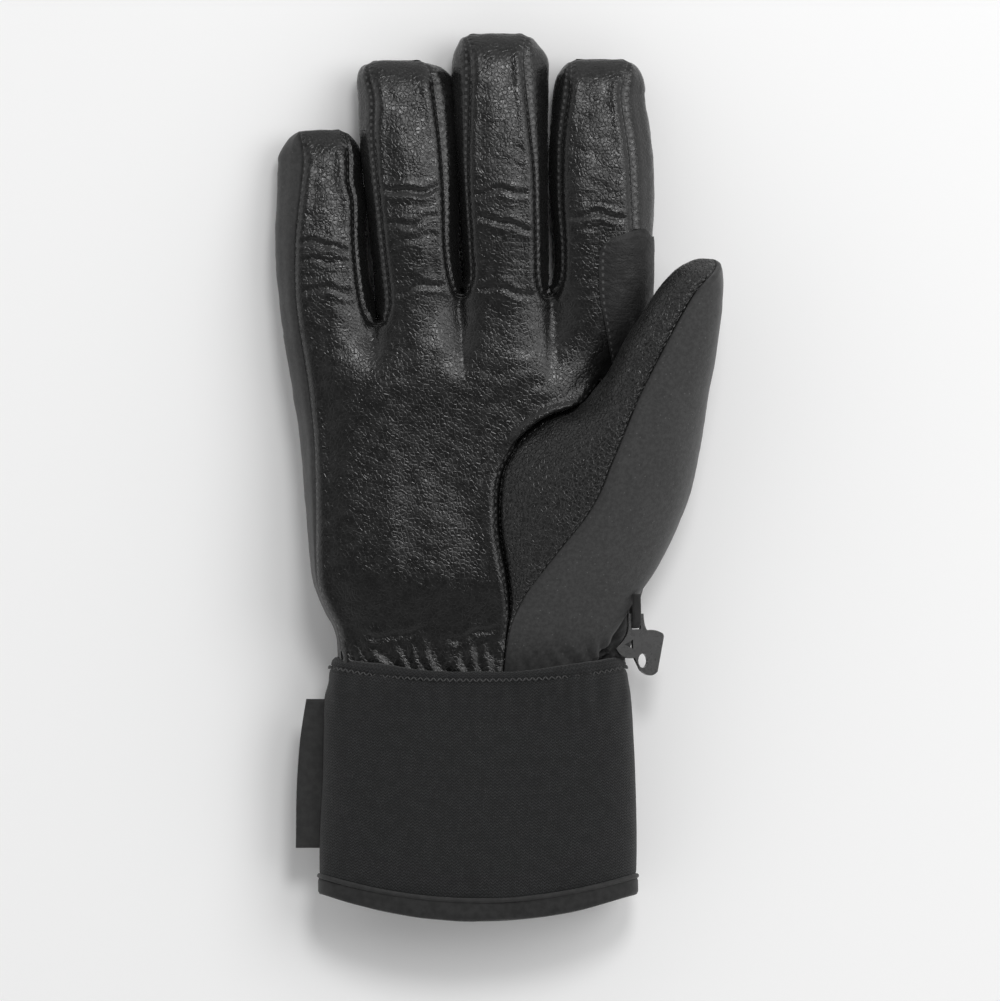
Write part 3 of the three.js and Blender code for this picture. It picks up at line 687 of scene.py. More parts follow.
def thumb_panels(leather, softshell):
    rows, station = thumb_rows()
    edge = np.column_stack([rows[:, 0:2], rows[:, 6]])
    ridge = np.column_stack([rows[:, 2:4], rows[:, 7]])
    side = np.column_stack([rows[:, 4:6], rows[:, 8]])
    free = smooth((station - FREE_FROM + 1.2) / 2.2)[:, None]
    closing = np.sqrt(1 - np.clip((station - CLOSING_FROM) / CLOSING_OVER, 0, 1) ** 2)[:, None]
    under = (edge + side) / 2
    under[:, 2:] -= (THUMB_THICK / 2) * closing
    back_x = np.interp(side[:, 1] + 2.0, back_right_line[:, 1], back_right_line[:, 0]) - 3.0
    back_x = np.minimum(side[:, 0] - 8, back_x)
    back_edge = np.column_stack([back_x, side[:, 1] + 2.0, np.full(len(rows), BACK_EDGE_Z)])
    tuck = edge + np.array([-2.5, 0.5, -5.0])

    # The leather goes from the ridge down to the crescent seam, or round the free thumb to its underside.
    a = np.linspace(0, 1, int(34 / GRID))
    round_over = quarter(a, ridge, edge)
    share = a[None, :, None]
    slope = ridge[:, None] * (1 - share) + edge[:, None] * share
    slope[..., 2] = edge[:, None, 2] + (ridge - edge)[:, None, 2] * (1 - a[None] ** 1.75)
    upper = slope * (1 - free[:, None]) + round_over * free[:, None]
    b = np.linspace(0, 1, int(16 / GRID))[1:]
    grid = with_underside(upper, b, mix(tuck, under, free), edge)
    panels = [thumb_panel("thumb_leather", grid, len(a) - 1, station, free, leather, "palm_leather")]

    # The softshell goes from the ridge over the side and under the hand, or to the thumb's underside.
    grid = with_underside(quarter(a, ridge, side), b, mix(back_edge, under, free), side)
    panels.append(thumb_panel("thumb_softshell", grid[:, ::-1], None, station, free, softshell, "softshell"))
    return panels


def thumb_panel(name, grid, crescent_column, station, free, material, slot):
    """A thumb panel from its grid.

    The ridge seam is its first column, or its last if no crescent column is given.
    """
    rows, columns = grid.shape[:2]
    step = np.linalg.norm(np.diff(grid, axis=1), axis=2)
    along_row = np.concatenate([np.zeros((rows, 1)), np.cumsum(step, axis=1)], axis=1)
    seam = along_row if crescent_column is not None else along_row[:, -1:] - along_row
    if crescent_column is not None:
        crescent = np.abs(along_row - along_row[:, crescent_column:crescent_column + 1]) + 30 * free
        seam = np.minimum(seam, crescent)
    verts, faces = grid_mesh(grid)
    faces = [f[::-1] for f in faces]
    seam = seam.ravel()
    amount = 0.6 if slot == "palm_leather" else 0.35
    push = drape(verts, amount) * smooth(seam / 5) - 0.8 * seam_profile(seam) * wrist_seam(verts)
    x, y, z = verts.T
    bunched = smooth((x - 12) / 4) * smooth((z - 12) / 6) * smooth((-48 - y) / 8)
    push += 0.9 * gathers(verts) * bunched * (slot == "softshell")
    quiet = np.repeat(smooth((18.2 - station) / 2.5), columns)
    verts = pushed(verts, faces, push * quiet)
    return Panel(name, verts, faces, material, slot, seam, np.repeat(run(grid[:, 0]), columns))


PATCH_LEFT = [(43.8, 37.0), (42.4, 45.5), (41.0, 52.8), (39.8, 59.5), (39.4, 69.5), (40.0, 74.2),
              (41.3, 76.6), (43.0, 78.2)]
PATCH_TOP_Y = [39.0, 70.0, 81.4]      # y where it meets the side wall: at its start, near its end, at its end
PATCH_MIDDLE_X = 39.6
PATCH_LIFT = 0.9      # height of the patch over the leather
PATCH_UNDER = -0.42   # the angle it reaches round the finger, below level
PATCH_LONG, PATCH_WIDE = 46, 38


def patch_panel(material):
    """The reinforcement over the index finger's root, from the palm round to its thumb side."""
    f = FINGERS["index"]
    left = curve(PATCH_LEFT)
    u = np.linspace(0, 1, int(PATCH_LONG / GRID))
    across = np.linspace(0, 1, int(PATCH_WIDE / GRID))
    at = np.linspace(0, 1, len(left))
    lx, ly = np.interp(u, at, left[:, 0]), np.interp(u, at, left[:, 1])
    top_y = np.interp(u, [0, 0.8, 1], PATCH_TOP_Y)
    grid = np.zeros((len(u), len(across), 3))
    for i in range(len(u)):
        y = mix(ly[i], top_y[i], np.sin(np.clip(across / 0.42, 0, 1) * math.pi / 2))
        y -= 2.6 * u[i] * smooth((across - 0.4) / 0.22)
        half = f["half"] + 0.1 + 1.1 * u[i]
        start = (lx[i] - PATCH_MIDDLE_X) / half
        t0 = math.acos(np.sign(start) * abs(start) ** 1.3)
        c, s = round_corner(mix(t0, PATCH_UNDER, across), SECTION_POWER)
        x = PATCH_MIDDLE_X + half * c
        z = f["mid"] + (f["height"] + PATCH_LIFT) * s
        on_leather = front_height(x, y)[1] + PATCH_LIFT
        grid[i] = np.column_stack([x, y, mix(z, on_leather, smooth((0.32 - across) / 0.12))])
    seam = np.minimum.outer(np.minimum(u, 1 - u) * 44, across * 36)
    verts, faces = grid_mesh(grid)
    seam = seam.ravel()
    verts = pushed(verts, faces, drape(verts, 0.35) * smooth(seam / 5) - 0.3 * np.exp(-seam ** 2))
    arc = np.repeat(run(grid[:, 0]), len(across))
    return Panel("index_patch", verts, faces, material, "palm_leather", seam, arc)


def side_strip(material):
    """The back's softshell where it turns up to the thumb at the wrist."""
    top = curve([(8, -70, 25), (12, -62, 25.5), (22, -55, 25), (34, -47, 23), (43, -38, 20), (49, -27, 19),
                 (53, -18, 18)])
    low = curve([(38, -70, 2), (39, -62, 2), (39.5, -55, 2), (41, -46, 2), (42, -37, 2), (43, -27, 2),
                 (44, -18, 2)])
    n = len(top)
    at = np.linspace(0, 1, n)
    low = np.column_stack([np.interp(at, np.linspace(0, 1, len(low)), low[:, k]) for k in range(3)])
    bulge = np.interp(top[:, 1], [-70, -62, -55, -46, -37, -27], [18.0, 19.0, 17.0, 13.0, 11.2, 9.0])
    b = np.linspace(0, 1, int(30 / GRID))
    grid = top[:, None] * (1 - b)[None, :, None] + low[:, None] * b[None, :, None]
    grid[..., 0] += bulge[:, None] * np.sin(math.pi * b)[None] ** 0.7
    verts, faces = grid_mesh(grid)
    unrolled = np.column_stack([verts[:, 0] - 1.1 * verts[:, 2], verts[:, 1]])
    verts = pushed(verts, faces, 1.3 * gathers(unrolled))
    return Panel("wrist_side", verts, faces, material, "softshell")


# ================= cuff, linings and fittings =================
CUFF_HALF = [(-147, 51.2), (-134, 51.6), (-100, 51.5), (-76, 50.6), (-66, 48.6), (-58, 46.0)]
CUFF_THICK = [(-147, 35), (-100, 35.4), (-70, 35), (-58, 33.5)]
CUFF_TOP, CUFF_TOP_BOW = -59.0, 4.2
CUFF_HEM, CUFF_HEM_BOW = -136.4, 8.6


CUFF_LENGTH = 76      # from fold to hem at the sides
CUFF_SIZE = (51, 35)  # half width and thickness by which turns round the cuff are spaced


def rounded_box(t, power=2.8):
    """The same at turn t, from 0 to 1."""
    return round_corner(2 * math.pi * t, power)


def even_turns(count, half, thick):
    """Turns at even distances round a rounded box."""
    t = np.linspace(0, 1, 1201)
    cx, cz = rounded_box(t)
    s = run(np.column_stack([cx * half, cz * thick / 2]))
    return np.interp(np.linspace(0, s[-1], count, endpoint=False), s, t), s[-1]


def cuff_point(y_flat, t, grow):
    """A ring of the cuff. y_flat counts from the top edge (0) to the hem (1); the ring bows on each side."""
    cx, cz = rounded_box(t)
    top = CUFF_TOP - CUFF_TOP_BOW * (1 - np.abs(cx) ** 2.4)
    hem = CUFF_HEM - CUFF_HEM_BOW * (1 - cx * cx)
    y = mix(top, hem, y_flat)
    half, thick = along(CUFF_HALF, y), along(CUFF_THICK, y)
    x = cx * (half + grow)
    z = np.maximum(thick / 2 + cz * (thick / 2 + grow), 0.35)
    return np.column_stack([x, y, z])


CUFF_TURNS, CUFF_ROUND = even_turns(int(272 / GRID), *CUFF_SIZE)


def cuff_panel(name, rows, material, slot, fold=0.0):
    """A closed ring panel. rows lists (share down the cuff, distance outwards)."""
    rows = np.array(rows, float)
    fine = resample(rows * (CUFF_LENGTH, 1), GRID)
    grid = np.array([cuff_point(r[0] / CUFF_LENGTH, CUFF_TURNS, r[1]) for r in fine])
    verts, faces = grid_mesh(grid, closed=True)
    normals = panel_normals(verts, faces)
    if normals[len(CUFF_TURNS) // 4][2] < 0:
        faces = [f[::-1] for f in faces]
        normals = -normals
    n = len(CUFF_TURNS)
    down = np.repeat(fine[:, 0], n)
    push = fold * cuff_folds(verts, down) * smooth((verts[:, 2] - 0.5) / 4)
    verts = verts + normals * push[:, None]
    turn = np.tile(np.arange(n) * CUFF_ROUND / n, len(fine))
    return Panel(name, verts, faces, material, slot, down, turn)


long_noise, broad_noise = Noise(44, seed=21), Noise(20, seed=22)


def cuff_folds(verts, down):
    """Slack in the knitted cuff: broad dents, and small gathers just under the top fold."""
    p = verts * np.array([1.0, 0.45, 1.0])
    x = verts[:, 0]
    gathered = np.sin(x * 1.15 + 1.5 * np.sin(x * 0.23)) * np.exp(-((down - 9) / 7) ** 2)
    return 1.15 * long_noise(p) + 0.5 * broad_noise(p) + 0.28 * gathered


def tube_panel(name, axis_from, axis_to, half, thick, mid, material, closed_end):
    """A lining tube along a finger or the thumb, rounded at its far end."""
    a, b = np.array(axis_from, float), np.array(axis_to, float)
    length = np.linalg.norm(b - a)
    d = (b - a) / length
    across = np.array([d[1], -d[0]])
    s = np.linspace(0, length, int(length / (GRID * 1.6)))
    count = int(2.6 * (half + thick / 2) / (GRID * 1.4)) * 2
    t = np.arange(count) / count
    cx, cz = rounded_box(t, SECTION_POWER)
    shrink = np.ones(len(s))
    if closed_end:
        past = np.clip((s - (length - half)) / half, 0, 1)
        shrink = np.sqrt(np.clip(1 - past ** 2, 0.02, 1))
    grid = np.zeros((len(s), count, 3))
    for i, step in enumerate(s):
        x = cx * half * shrink[i]
        grid[i, :, 0] = a[0] + d[0] * step + across[0] * x
        grid[i, :, 1] = a[1] + d[1] * step + across[1] * x
        grid[i, :, 2] = mid + cz * thick / 2 * shrink[i]
    verts, faces = grid_mesh(grid, closed=True)
    if closed_end:
        faces.append([(len(s) - 1) * count + k for k in range(count)])
    return Panel(name, verts, faces, material, "fleece")


# ================= pieces cut at the joints ======================
HINGES = {"index": (3.7, 29.0, 53.0), "middle": (4.7, 31.0, 57.0), "ring": (6.2, 30.0, 54.0),
          "little": (4.0, 23.5, 45.0)}
CAD_AXIS = {"index": ((40.2, 55.5), (40.6, 136.5)), "middle": ((9.6, 55.5), (6.4, 145.0)),
            "ring": ((-19.2, 52.5), (-25.0, 136.0)), "little": ((-49.6, 46.0), (-52.0, 113.4)),
            "thumb": ((57.9, 26.5), (74.6, 71.0))}
THUMB_HINGES = (0.3, 20.0, 38.0)
WRIST_BLEND = (-48.5, -72.0)


def axis_frame(name):
    a, b = np.array(CAD_AXIS[name][0]), np.array(CAD_AXIS[name][1])
    return a, (b - a) / np.linalg.norm(b - a)


def zones(points, owner, thumb):
    """The name of the zone each point lies in."""
    out = np.where(points[:, 1] < WRIST_BLEND[0], "wrist", "hand").astype("U20")
    names = ["thumb"] if thumb else ORDER
    for k, name in enumerate(names):
        start, between, _ = THUMB_HINGES if thumb else HINGES[name]
        root, d = axis_frame(name)
        s = (points[:, :2] - root) @ d
        mine = np.ones(len(points), bool) if thumb else owner == k
        out[mine & (s > start)] = f"{name}_knuckle"
        out[mine & (s > between)] = f"{name}_middle"
    return out


def attach(obj, zone):
    """Puts a piece of the hand or the cuff on that body; pieces of the other zones stay where they are."""
    if zone == "hand":
        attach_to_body(obj, "hand")
    elif zone == "wrist":
        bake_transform(obj)
    elif zone == "cuff":
        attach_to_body(obj, "cuff")
    else:
        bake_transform(obj)


HAND_NODES = {
    "front": ["palm_leather"], "back": ["hand_back_softshell"], "outer_wall": ["hand_back_softshell"],
    "wrist_side": ["hand_back_softshell"], "thumb_leather": ["thumb_crescent_leather"],
    "thumb_softshell": ["thumb_root_softshell"], "index_patch": ["index_root_patch"],
    "hand_lining": ["hand_lining", "hand_membrane", "hand_insulation", "wrist_elastic"],
}


def stands_for(panel, zone, side):
    """The CAD nodes a piece takes the place of."""
    if panel.endswith("_liner"):
        end = "base" if zone.endswith("knuckle") else "tip"
        return ["hand_lining"] if zone == "hand" else [f"{panel}_{end}"]
    if panel == "index_patch" or zone in ("hand", "wrist"):
        return HAND_NODES.get(panel, ["palm_leather"])
    name, joint = zone.rsplit("_", 1)
    end = "base" if joint == "knuckle" else "tip"
    if name == "thumb":
        return [f"{panel}_{end}"]
    if panel in ("front", "back"):
        return [f"{name}_{panel}_{end}"]
    if panel == "outer_wall":
        return [f"little_back_{end}"]
    if name == "little":
        return [f"little_wall_{end}"]
    wall = "thumb_side" if side == "right" or panel == "wall_index" else "outer"
    return [f"{name}_{wall}_wall_{end}"]


def make_object(name, panel, verts=None, faces=None, normals=None, keep=slice(None)):
    """A mesh object of a whole panel, or of the piece of it whose points are listed in keep."""
    verts, faces = (panel.verts, panel.faces) if verts is None else (verts, faces)
    mesh = bpy.data.meshes.new(name)
    mesh.from_pydata((verts * MM).tolist(), [], faces)
    mesh.polygons.foreach_set("use_smooth", [True] * len(mesh.polygons))
    for label, values in (("seam", panel.seam), ("arc", panel.arc)):
        attribute = mesh.attributes.new(label, "FLOAT", "POINT")
        attribute.data.foreach_set("value", np.ascontiguousarray(values[keep], dtype=np.float32))
    mesh.materials.append(panel.material)
    mesh.update()
    if normals is not None:
        mesh.normals_split_custom_set_from_vertices(normals.tolist())
    obj = bpy.data.objects.new(name, mesh)
    bpy.context.scene.collection.objects.link(obj)
    return obj


def whole(panel, body, *nodes):
    """A panel that follows one body."""
    obj = make_object(panel.name, panel)
    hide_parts(*nodes)
    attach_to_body(obj, body)
    return obj


def cut_up(panel, owner=None, side=None, thumb=False):
    """Cuts a panel at its zones' borders into one piece for each zone."""
    verts, faces = panel.verts, panel.faces
    normals = panel_normals(verts, faces)
    centres = np.array([verts[f].mean(0) for f in faces])
    if owner is None:
        face_owner = finger_of(centres[:, 0], centres[:, 1])
    else:
        face_owner = np.broadcast_to(owner, len(verts))[[f[0] for f in faces]]
    zone = zones(centres, face_owner, thumb)
    for name in sorted(set(zone)):
        chosen = [faces[k] for k in np.flatnonzero(zone == name)]
        keep = np.unique(np.concatenate([np.array(f) for f in chosen]))
        where = np.full(len(verts), -1)
        where[keep] = np.arange(len(keep))
        local = [[int(where[v]) for v in f] for f in chosen]
        obj = make_object(f"{panel.name}_{name}", panel, verts[keep], local, normals[keep], keep)
        piece_side = side(name) if side else None
        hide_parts(*stands_for(panel.name, name, piece_side))
        attach(obj, name)


# ================= materials =================
class Shader:
    """A small helper for writing node trees."""

    def __init__(self, name):
        self.material = bpy.data.materials.new(name)
        self.material.use_nodes = True
        self.tree = self.material.node_tree
        self.coords = self.node("TexCoord", {}, "Object")

    def put(self, socket, value):
        if isinstance(value, bpy.types.NodeSocket):
            self.tree.links.new(value, socket)
        else:
            socket.default_value = value

    def node(self, kind, inputs, output=0, **settings):
        """Adds a node and gives one of its outputs."""
        made = self.tree.nodes.new("ShaderNode" + kind)
        for key, value in settings.items():
            setattr(made, key, value)
        for key, value in inputs.items():
            self.put(made.inputs[key], value)
        return made.outputs[output]

    def math(self, operation, *values):
        return self.node("Math", dict(enumerate(values)), operation=operation)

    def times(self, a, b):
        return self.math("MULTIPLY", a, b)

    def noise(self, size_mm, detail=3.0, rough=0.55, stretch=(1, 1, 1)):
        at = self.coords if stretch == (1, 1, 1) else self.node("Mapping", {0: self.coords, "Scale": stretch})
        inputs = {"Vector": at, "Scale": 1 / (size_mm * MM), "Detail": detail, "Roughness": rough}
        return self.node("TexNoise", inputs, "Fac")

    def cells(self, size_mm, feature="F1"):
        inputs = {"Vector": self.coords, "Scale": 1 / (size_mm * MM)}
        return self.node("TexVoronoi", inputs, "Distance", feature=feature)

    def attribute(self, name):
        return self.node("Attribute", {}, "Fac", attribute_name=name)

    def between(self, value, low, high, out_low=0.0, out_high=1.0):
        """Eases from out_low to out_high as value goes from low to high."""
        inputs = dict(enumerate((value, low, high, out_low, out_high)))
        return self.node("MapRange", inputs, interpolation_type="SMOOTHSTEP")

    def blend(self, share, a, b):
        return self.node("Mix", {"Factor": share, 6: a, 7: b}, 2, data_type="RGBA")

    def mottle(self, field, low, high, dark, light):
        """Two colours in patches, from a noise field."""
        return self.blend(self.between(field, low, high), dark, light)

    def bump(self, height, distance_mm, strength=1.0, normal=None):
        inputs = {"Height": height, "Distance": distance_mm * MM, "Strength": strength}
        return self.node("Bump", inputs if normal is None else {**inputs, "Normal": normal})

    def finish(self, color, roughness, normal=None, **rest):
        inputs = self.tree.nodes["Principled BSDF"].inputs
        for key, value in {"Base Color": color, "Roughness": roughness, "Normal": normal, **rest}.items():
            if value is not None:
                self.put(inputs[key.replace("_", " ")], value)
        return self.material


def grey(value, warm=0.0):
    """A near-grey colour from its display value, 0 to 255."""
    linear = ((value / 255 + 0.055) / 1.055) ** 2.4
    return (linear * (1 + warm), linear, linear * (1 - warm), 1.0)


def stitch_pucker(s, pitch=2.9, near=0.7, far=2.6):
    """Small dimples beside a seam, one for each stitch."""
    wave = s.math("SINE", s.times(s.attribute("arc"), 2 * math.pi / pitch))
    band = s.times(s.between(s.attribute("seam"), near, near + 0.6),
                  s.between(s.attribute("seam"), far, near + 0.7))
    return s.times(wave, band)


def seam_highlight_dashes(s, near=0.45, far=0.95, pitch=2.3):
    """Painted highlight along a seam's turned edge: short light dashes, spaced like stitches, in a narrow
    line beside the groove.
    """
    wave = s.math("SINE", s.times(s.attribute("arc"), 2 * math.pi / pitch))
    line = s.times(s.between(s.attribute("seam"), near, near + 0.15),
                  s.between(s.attribute("seam"), far, far - 0.15))
    return s.times(s.between(wave, 0.0, 0.5), line)


def leather_material(name, base, gloss, pebbling=0.09, contrast=6):
    s = Shader(name)
    pebble = s.cells(0.95, feature="SMOOTH_F1")
    crack = s.cells(1.35, feature="DISTANCE_TO_EDGE")
    grain = s.noise(0.42, detail=2.0, rough=0.6)
    wrinkle = s.noise(4.2, detail=4.0, rough=0.6)
    y = s.node("SeparateXYZ", {0: s.coords}, 1)
    flexing = s.times(s.between(y, 0.048, 0.064), s.between(y, 0.108, 0.090))
    ripple = s.times(s.noise(1.8, detail=2.0, stretch=(0.16, 1, 0.3)), flexing)
    groove = s.between(s.attribute("seam"), 0.05, 0.5)
    skin = s.times(s.between(crack, 0.0, 0.22), 0.6)
    height = s.math("SUBTRACT", skin, s.times(pebble, 0.6))
    height = s.math("ADD", height, s.times(grain, 0.15))
    normal = s.bump(wrinkle, 0.22, 0.6)
    normal = s.bump(ripple, 0.2, 0.9, normal)
    normal = s.bump(stitch_pucker(s), 0.14, 0.5, normal)
    normal = s.bump(height, pebbling, 0.95, normal)
    color = s.mottle(s.noise(11, detail=4.0), 0.35, 0.75, grey(base - 3), grey(base + 3))
    color = s.blend(s.between(pebble, 0.1, 0.6), color, grey(base - contrast))
    # painted highlight: light dashes along each seam's turned edge, spaced like stitches
    color = s.blend(s.times(seam_highlight_dashes(s), 0.6), color, grey(84))
    # painted shade: the leather turns near black in the seam groove, where shade falls
    color = s.blend(groove, grey(6), color)
    rough = s.between(s.noise(2.6, detail=3.0), 0.3, 0.7, gloss - 0.06, gloss + 0.10)
    return s.finish(color, rough, normal, Specular_IOR_Level=0.42, Sheen_Weight=0.02)


def softshell_material(name, base, lint=0.22):
    s = Shader(name)
    weave = s.noise(0.55, detail=2.0, rough=0.7)
    slack = s.noise(9, detail=3.0)
    groove = s.between(s.attribute("seam"), 0.0, 0.5)
    normal = s.bump(slack, 0.5, 0.35)
    normal = s.bump(weave, 0.12, 0.6, normal)
    color = s.mottle(s.noise(1.3, detail=4.0, rough=0.7), 0.3, 0.7, grey(base - 7), grey(base + 6))
    specks = s.between(s.cells(2.3), 0.13, 0.05)
    color = s.blend(s.times(specks, lint), color, grey(base + 75))
    # painted shade: the softshell turns dark in the seam groove, where shade falls
    color = s.blend(groove, grey(14), color)
    return s.finish(color, 0.86, normal, Sheen_Weight=0.18, Sheen_Roughness=0.5, Specular_IOR_Level=0.25)


def knit_material(name, base):
    """Fine zigzag knit: chevron ribs that run round the cuff."""
    s = Shader(name)
    around, down = s.attribute("arc"), s.attribute("seam")
    zig = s.math("PINGPONG", around, 0.7)
    phase = s.times(s.math("ADD", down, zig), 2 * math.pi / 0.95)
    rib = s.math("MULTIPLY_ADD", s.math("SINE", phase), 0.5, 0.5)
    wale = s.math("ABSOLUTE", s.math("SINE", s.times(around, math.pi / 0.7)))
    yarn = s.noise(0.6, detail=2.0, rough=0.7)
    height = s.math("ADD", s.times(rib, 0.6), s.times(wale, 0.35))
    normal = s.bump(height, 0.2, 0.8)
    normal = s.bump(yarn, 0.14, 0.8, normal)
    color = s.mottle(s.noise(3.5, detail=4.0), 0.3, 0.72, grey(base - 4, -0.02), grey(base + 4, -0.02))
    color = s.blend(s.between(rib, 0.1, 0.8), grey(base - 14, -0.02), color)
    flecks = s.times(s.between(s.cells(0.8), 0.28, 0.1), 0.45)
    color = s.blend(flecks, color, grey(base + 30, -0.02))
    return s.finish(color, 0.92, normal, Sheen_Weight=0.1, Specular_IOR_Level=0.2)


def cloth_material(name, base, size=0.5, depth=0.1, rough=0.85, sheen=0.1):
    s = Shader(name)
    fibre = s.noise(size, detail=3.0, rough=0.7, stretch=(1, 0.35, 1))
    normal = s.bump(s.noise(7, detail=3.0), 0.4, 0.35)
    normal = s.bump(fibre, depth, 0.7, normal)
    color = s.mottle(s.noise(2.2, detail=4.0), 0.3, 0.7, grey(base - 5), grey(base + 6))
    return s.finish(color, rough, normal, Sheen_Weight=sheen, Specular_IOR_Level=0.3)


def fleece_material(name, base):
    s = Shader(name)
    pile = s.cells(1.1, feature="SMOOTH_F1")
    tuft = s.noise(0.7, detail=4.0, rough=0.8)
    normal = s.bump(s.math("ADD", pile, tuft), 0.5, 0.8)
    color = s.mottle(s.noise(3.0, detail=4.0), 0.3, 0.7, grey(base - 8), grey(base + 8))
    return s.finish(color, 0.98, normal, Sheen_Weight=0.3)


def plastic_material(name, base):
    s = Shader(name)
    normal = s.bump(s.noise(0.5, detail=3.0, rough=0.6), 0.03, 0.5)
    normal = s.bump(s.noise(6, detail=2.0), 0.15, 0.3, normal)
    color = s.mottle(s.noise(5, detail=3.0), 0.3, 0.7, grey(base - 4), grey(base + 3))
    rough = s.between(s.noise(1.5, detail=3.0), 0.3, 0.7, 0.24, 0.34)
    return s.finish(color, rough, normal, Specular_IOR_Level=0.55)


# ================= putting the glove together =================
palm_leather = leather_material("palm_leather", 22, 0.27)
patch_leather = leather_material("patch_leather", 14, 0.60, pebbling=0.08)
thumb_leather = leather_material("thumb_leather", 22, 0.30, pebbling=0.26, contrast=14)
softshell = softshell_material("softshell", 54)
back_softshell = softshell_material("back_softshell", 52)
knit = knit_material("cuff_knit", 40)
binding = cloth_material("hem_binding", 34, size=0.4, depth=0.07)
piping = cloth_material("piping_cord", 36, size=0.35, depth=0.05, rough=0.7)
thread = cloth_material("thread", 62, size=0.3, depth=0.04, rough=0.6)
fleece = fleece_material("fleece_lining", 30)
tape = cloth_material("label_tape", 36, size=0.3, depth=0.06, rough=0.62, sheen=0.2)
nylon = plastic_material("clip_nylon", 46)

cut_up(front_panel(palm_leather))
cut_up(back_panel(back_softshell))
for first, second in CROTCHES:
    wall = gap_wall(first, second, palm_leather)
    down_count, up_count = len(seam_line(FINGERS[first], "right")), len(seam_line(FINGERS[second], "left"))
    rows = down_count + up_count + len(crotch_arc(first, second))
    leg = np.repeat(np.arange(rows) < down_count + 4, len(wall.verts) // rows)
    owners = np.where(leg, ORDER.index(first), ORDER.index(second))
    cut_up(wall, owner=owners, side=lambda zone, a=first: "right" if zone.startswith(a) else "left")
cut_up(outer_wall(back_softshell), owner=ORDER.index("little"))
cut_up(index_wall(palm_leather), owner=ORDER.index("index"))
cut_up(patch_panel(patch_leather), owner=ORDER.index("index"))
for panel in thumb_panels(thumb_leather, softshell):
    cut_up(panel, thumb=True)
cut_up(side_strip(back_softshell))


# ---- linings ----
for k, name in enumerate(ORDER):
    root, direction = axis_frame(name)
    finger = FINGERS[name]
    far = root + direction * (finger["axis"][1][1] - root[1] - 9)
    liner = tube_panel(f"{name}_liner", root - direction * 7, far, finger["half"] - 5.4, finger["top"] - 19,
                       finger["top"] / 2 - 2.5, fleece, True)
    cut_up(liner, owner=k)
root, direction = axis_frame("thumb")
cut_up(tube_panel("thumb_liner", root, root + direction * 43, 9.6, 15, 34.5, fleece, True), thumb=True)
cut_up(tube_panel("hand_lining", (-9, -66), (-6, 46), 31, 18, 16, fleece, False), owner=ORDER.index("middle"))


# ---- cuff ----
SLEEVE_ROWS = [(0.05, -2.2), (0.012, -2.2), (0.0, -1.2), (-0.002, -0.2), (0.002, 0.5), (0.01, 0.9),
               (0.028, 0.9), (0.036, 0.15), (0.042, 0.15), (0.05, 0.75), (0.065, 0.8), (0.1, 0.4), (0.3, 0.0),
               (0.9, 0.0), (0.925, -0.4)]
HEM_ROWS = [(0.922, -0.6), (0.925, 0.3), (0.932, 0.75), (0.985, 0.8), (0.997, 0.35), (1.002, -0.8),
            (0.996, -2.0), (0.94, -2.4)]
LINING_ROWS = [(0.015, -3.0), (0.5, -3.2), (0.965, -2.6)]
PIPING_AT, PIPING_RADIUS = 0.919, 0.8

whole(cuff_panel("cuff_sleeve", SLEEVE_ROWS, knit, "knit", fold=1.0), "cuff", "cuff_sleeve")
whole(cuff_panel("hem_band", HEM_ROWS, binding, "binding", fold=0.6), "cuff", "hem_band")
whole(cuff_panel("cuff_lining", LINING_ROWS, fleece, "fleece"), "cuff", "cuff_lining")


def round_tangent(line):
    """The direction along a closed line at each of its points."""
    return unit(np.roll(line, -1, axis=0) - np.roll(line, 1, axis=0))


def cord(name, line, radius, material, slot, sides=10):
    """A closed round cord along a line of points."""
    tangent = round_tangent(line)
    out = line - line.mean(0)
    out = unit(out - (out * tangent).sum(1)[:, None] * tangent)
    other = np.cross(tangent, out)
    a = 2 * math.pi * np.arange(sides)[:, None] / sides
    grid = line[:, None] + radius * (out[:, None] * np.cos(a) + other[:, None] * np.sin(a))
    grid = np.vstack([grid, grid[:1]])
    verts, faces = grid_mesh(grid, closed=True)
    arc = np.arange(len(grid)) * np.linalg.norm(line[1] - line[0])
    return Panel(name, verts, faces, material, slot, arc=np.repeat(arc, sides))


piping_line = cuff_point(PIPING_AT, CUFF_TURNS, 0.25)
piping_line[:, 2] = np.maximum(piping_line[:, 2], PIPING_RADIUS)
whole(cord("hem_piping", piping_line, PIPING_RADIUS, piping, "binding"), "cuff", "hem_piping")


def stitches(name, at, along_thread, out, long, thick, material, body):
    """Thread stitches as small capsules, each at a point, along a direction and facing outwards."""
    verts, faces = [], []
    rings, sides = 5, 6
    for place, direction, outward in zip(at, along_thread, out):
        side = np.cross(direction, outward)
        base = len(verts)
        for i in range(rings):
            u = i / (rings - 1) * 2 - 1
            r = thick * max(0.15, math.sqrt(max(0.0, 1 - u ** 4)))
            for j in range(sides):
                a = 2 * math.pi * j / sides
                ring_point = r * (outward * math.cos(a) + side * math.sin(a))
                verts.append(place + direction * u * long / 2 + ring_point)
        for i in range(rings - 1):
            for j in range(sides):
                k = (j + 1) % sides
                faces.append([base + i * sides + j, base + i * sides + k, base + (i + 1) * sides + k,
                              base + (i + 1) * sides + j])
    verts = np.array(verts)
    panel = Panel(name, verts, faces, material, "binding")
    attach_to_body(make_object(name, panel), body)


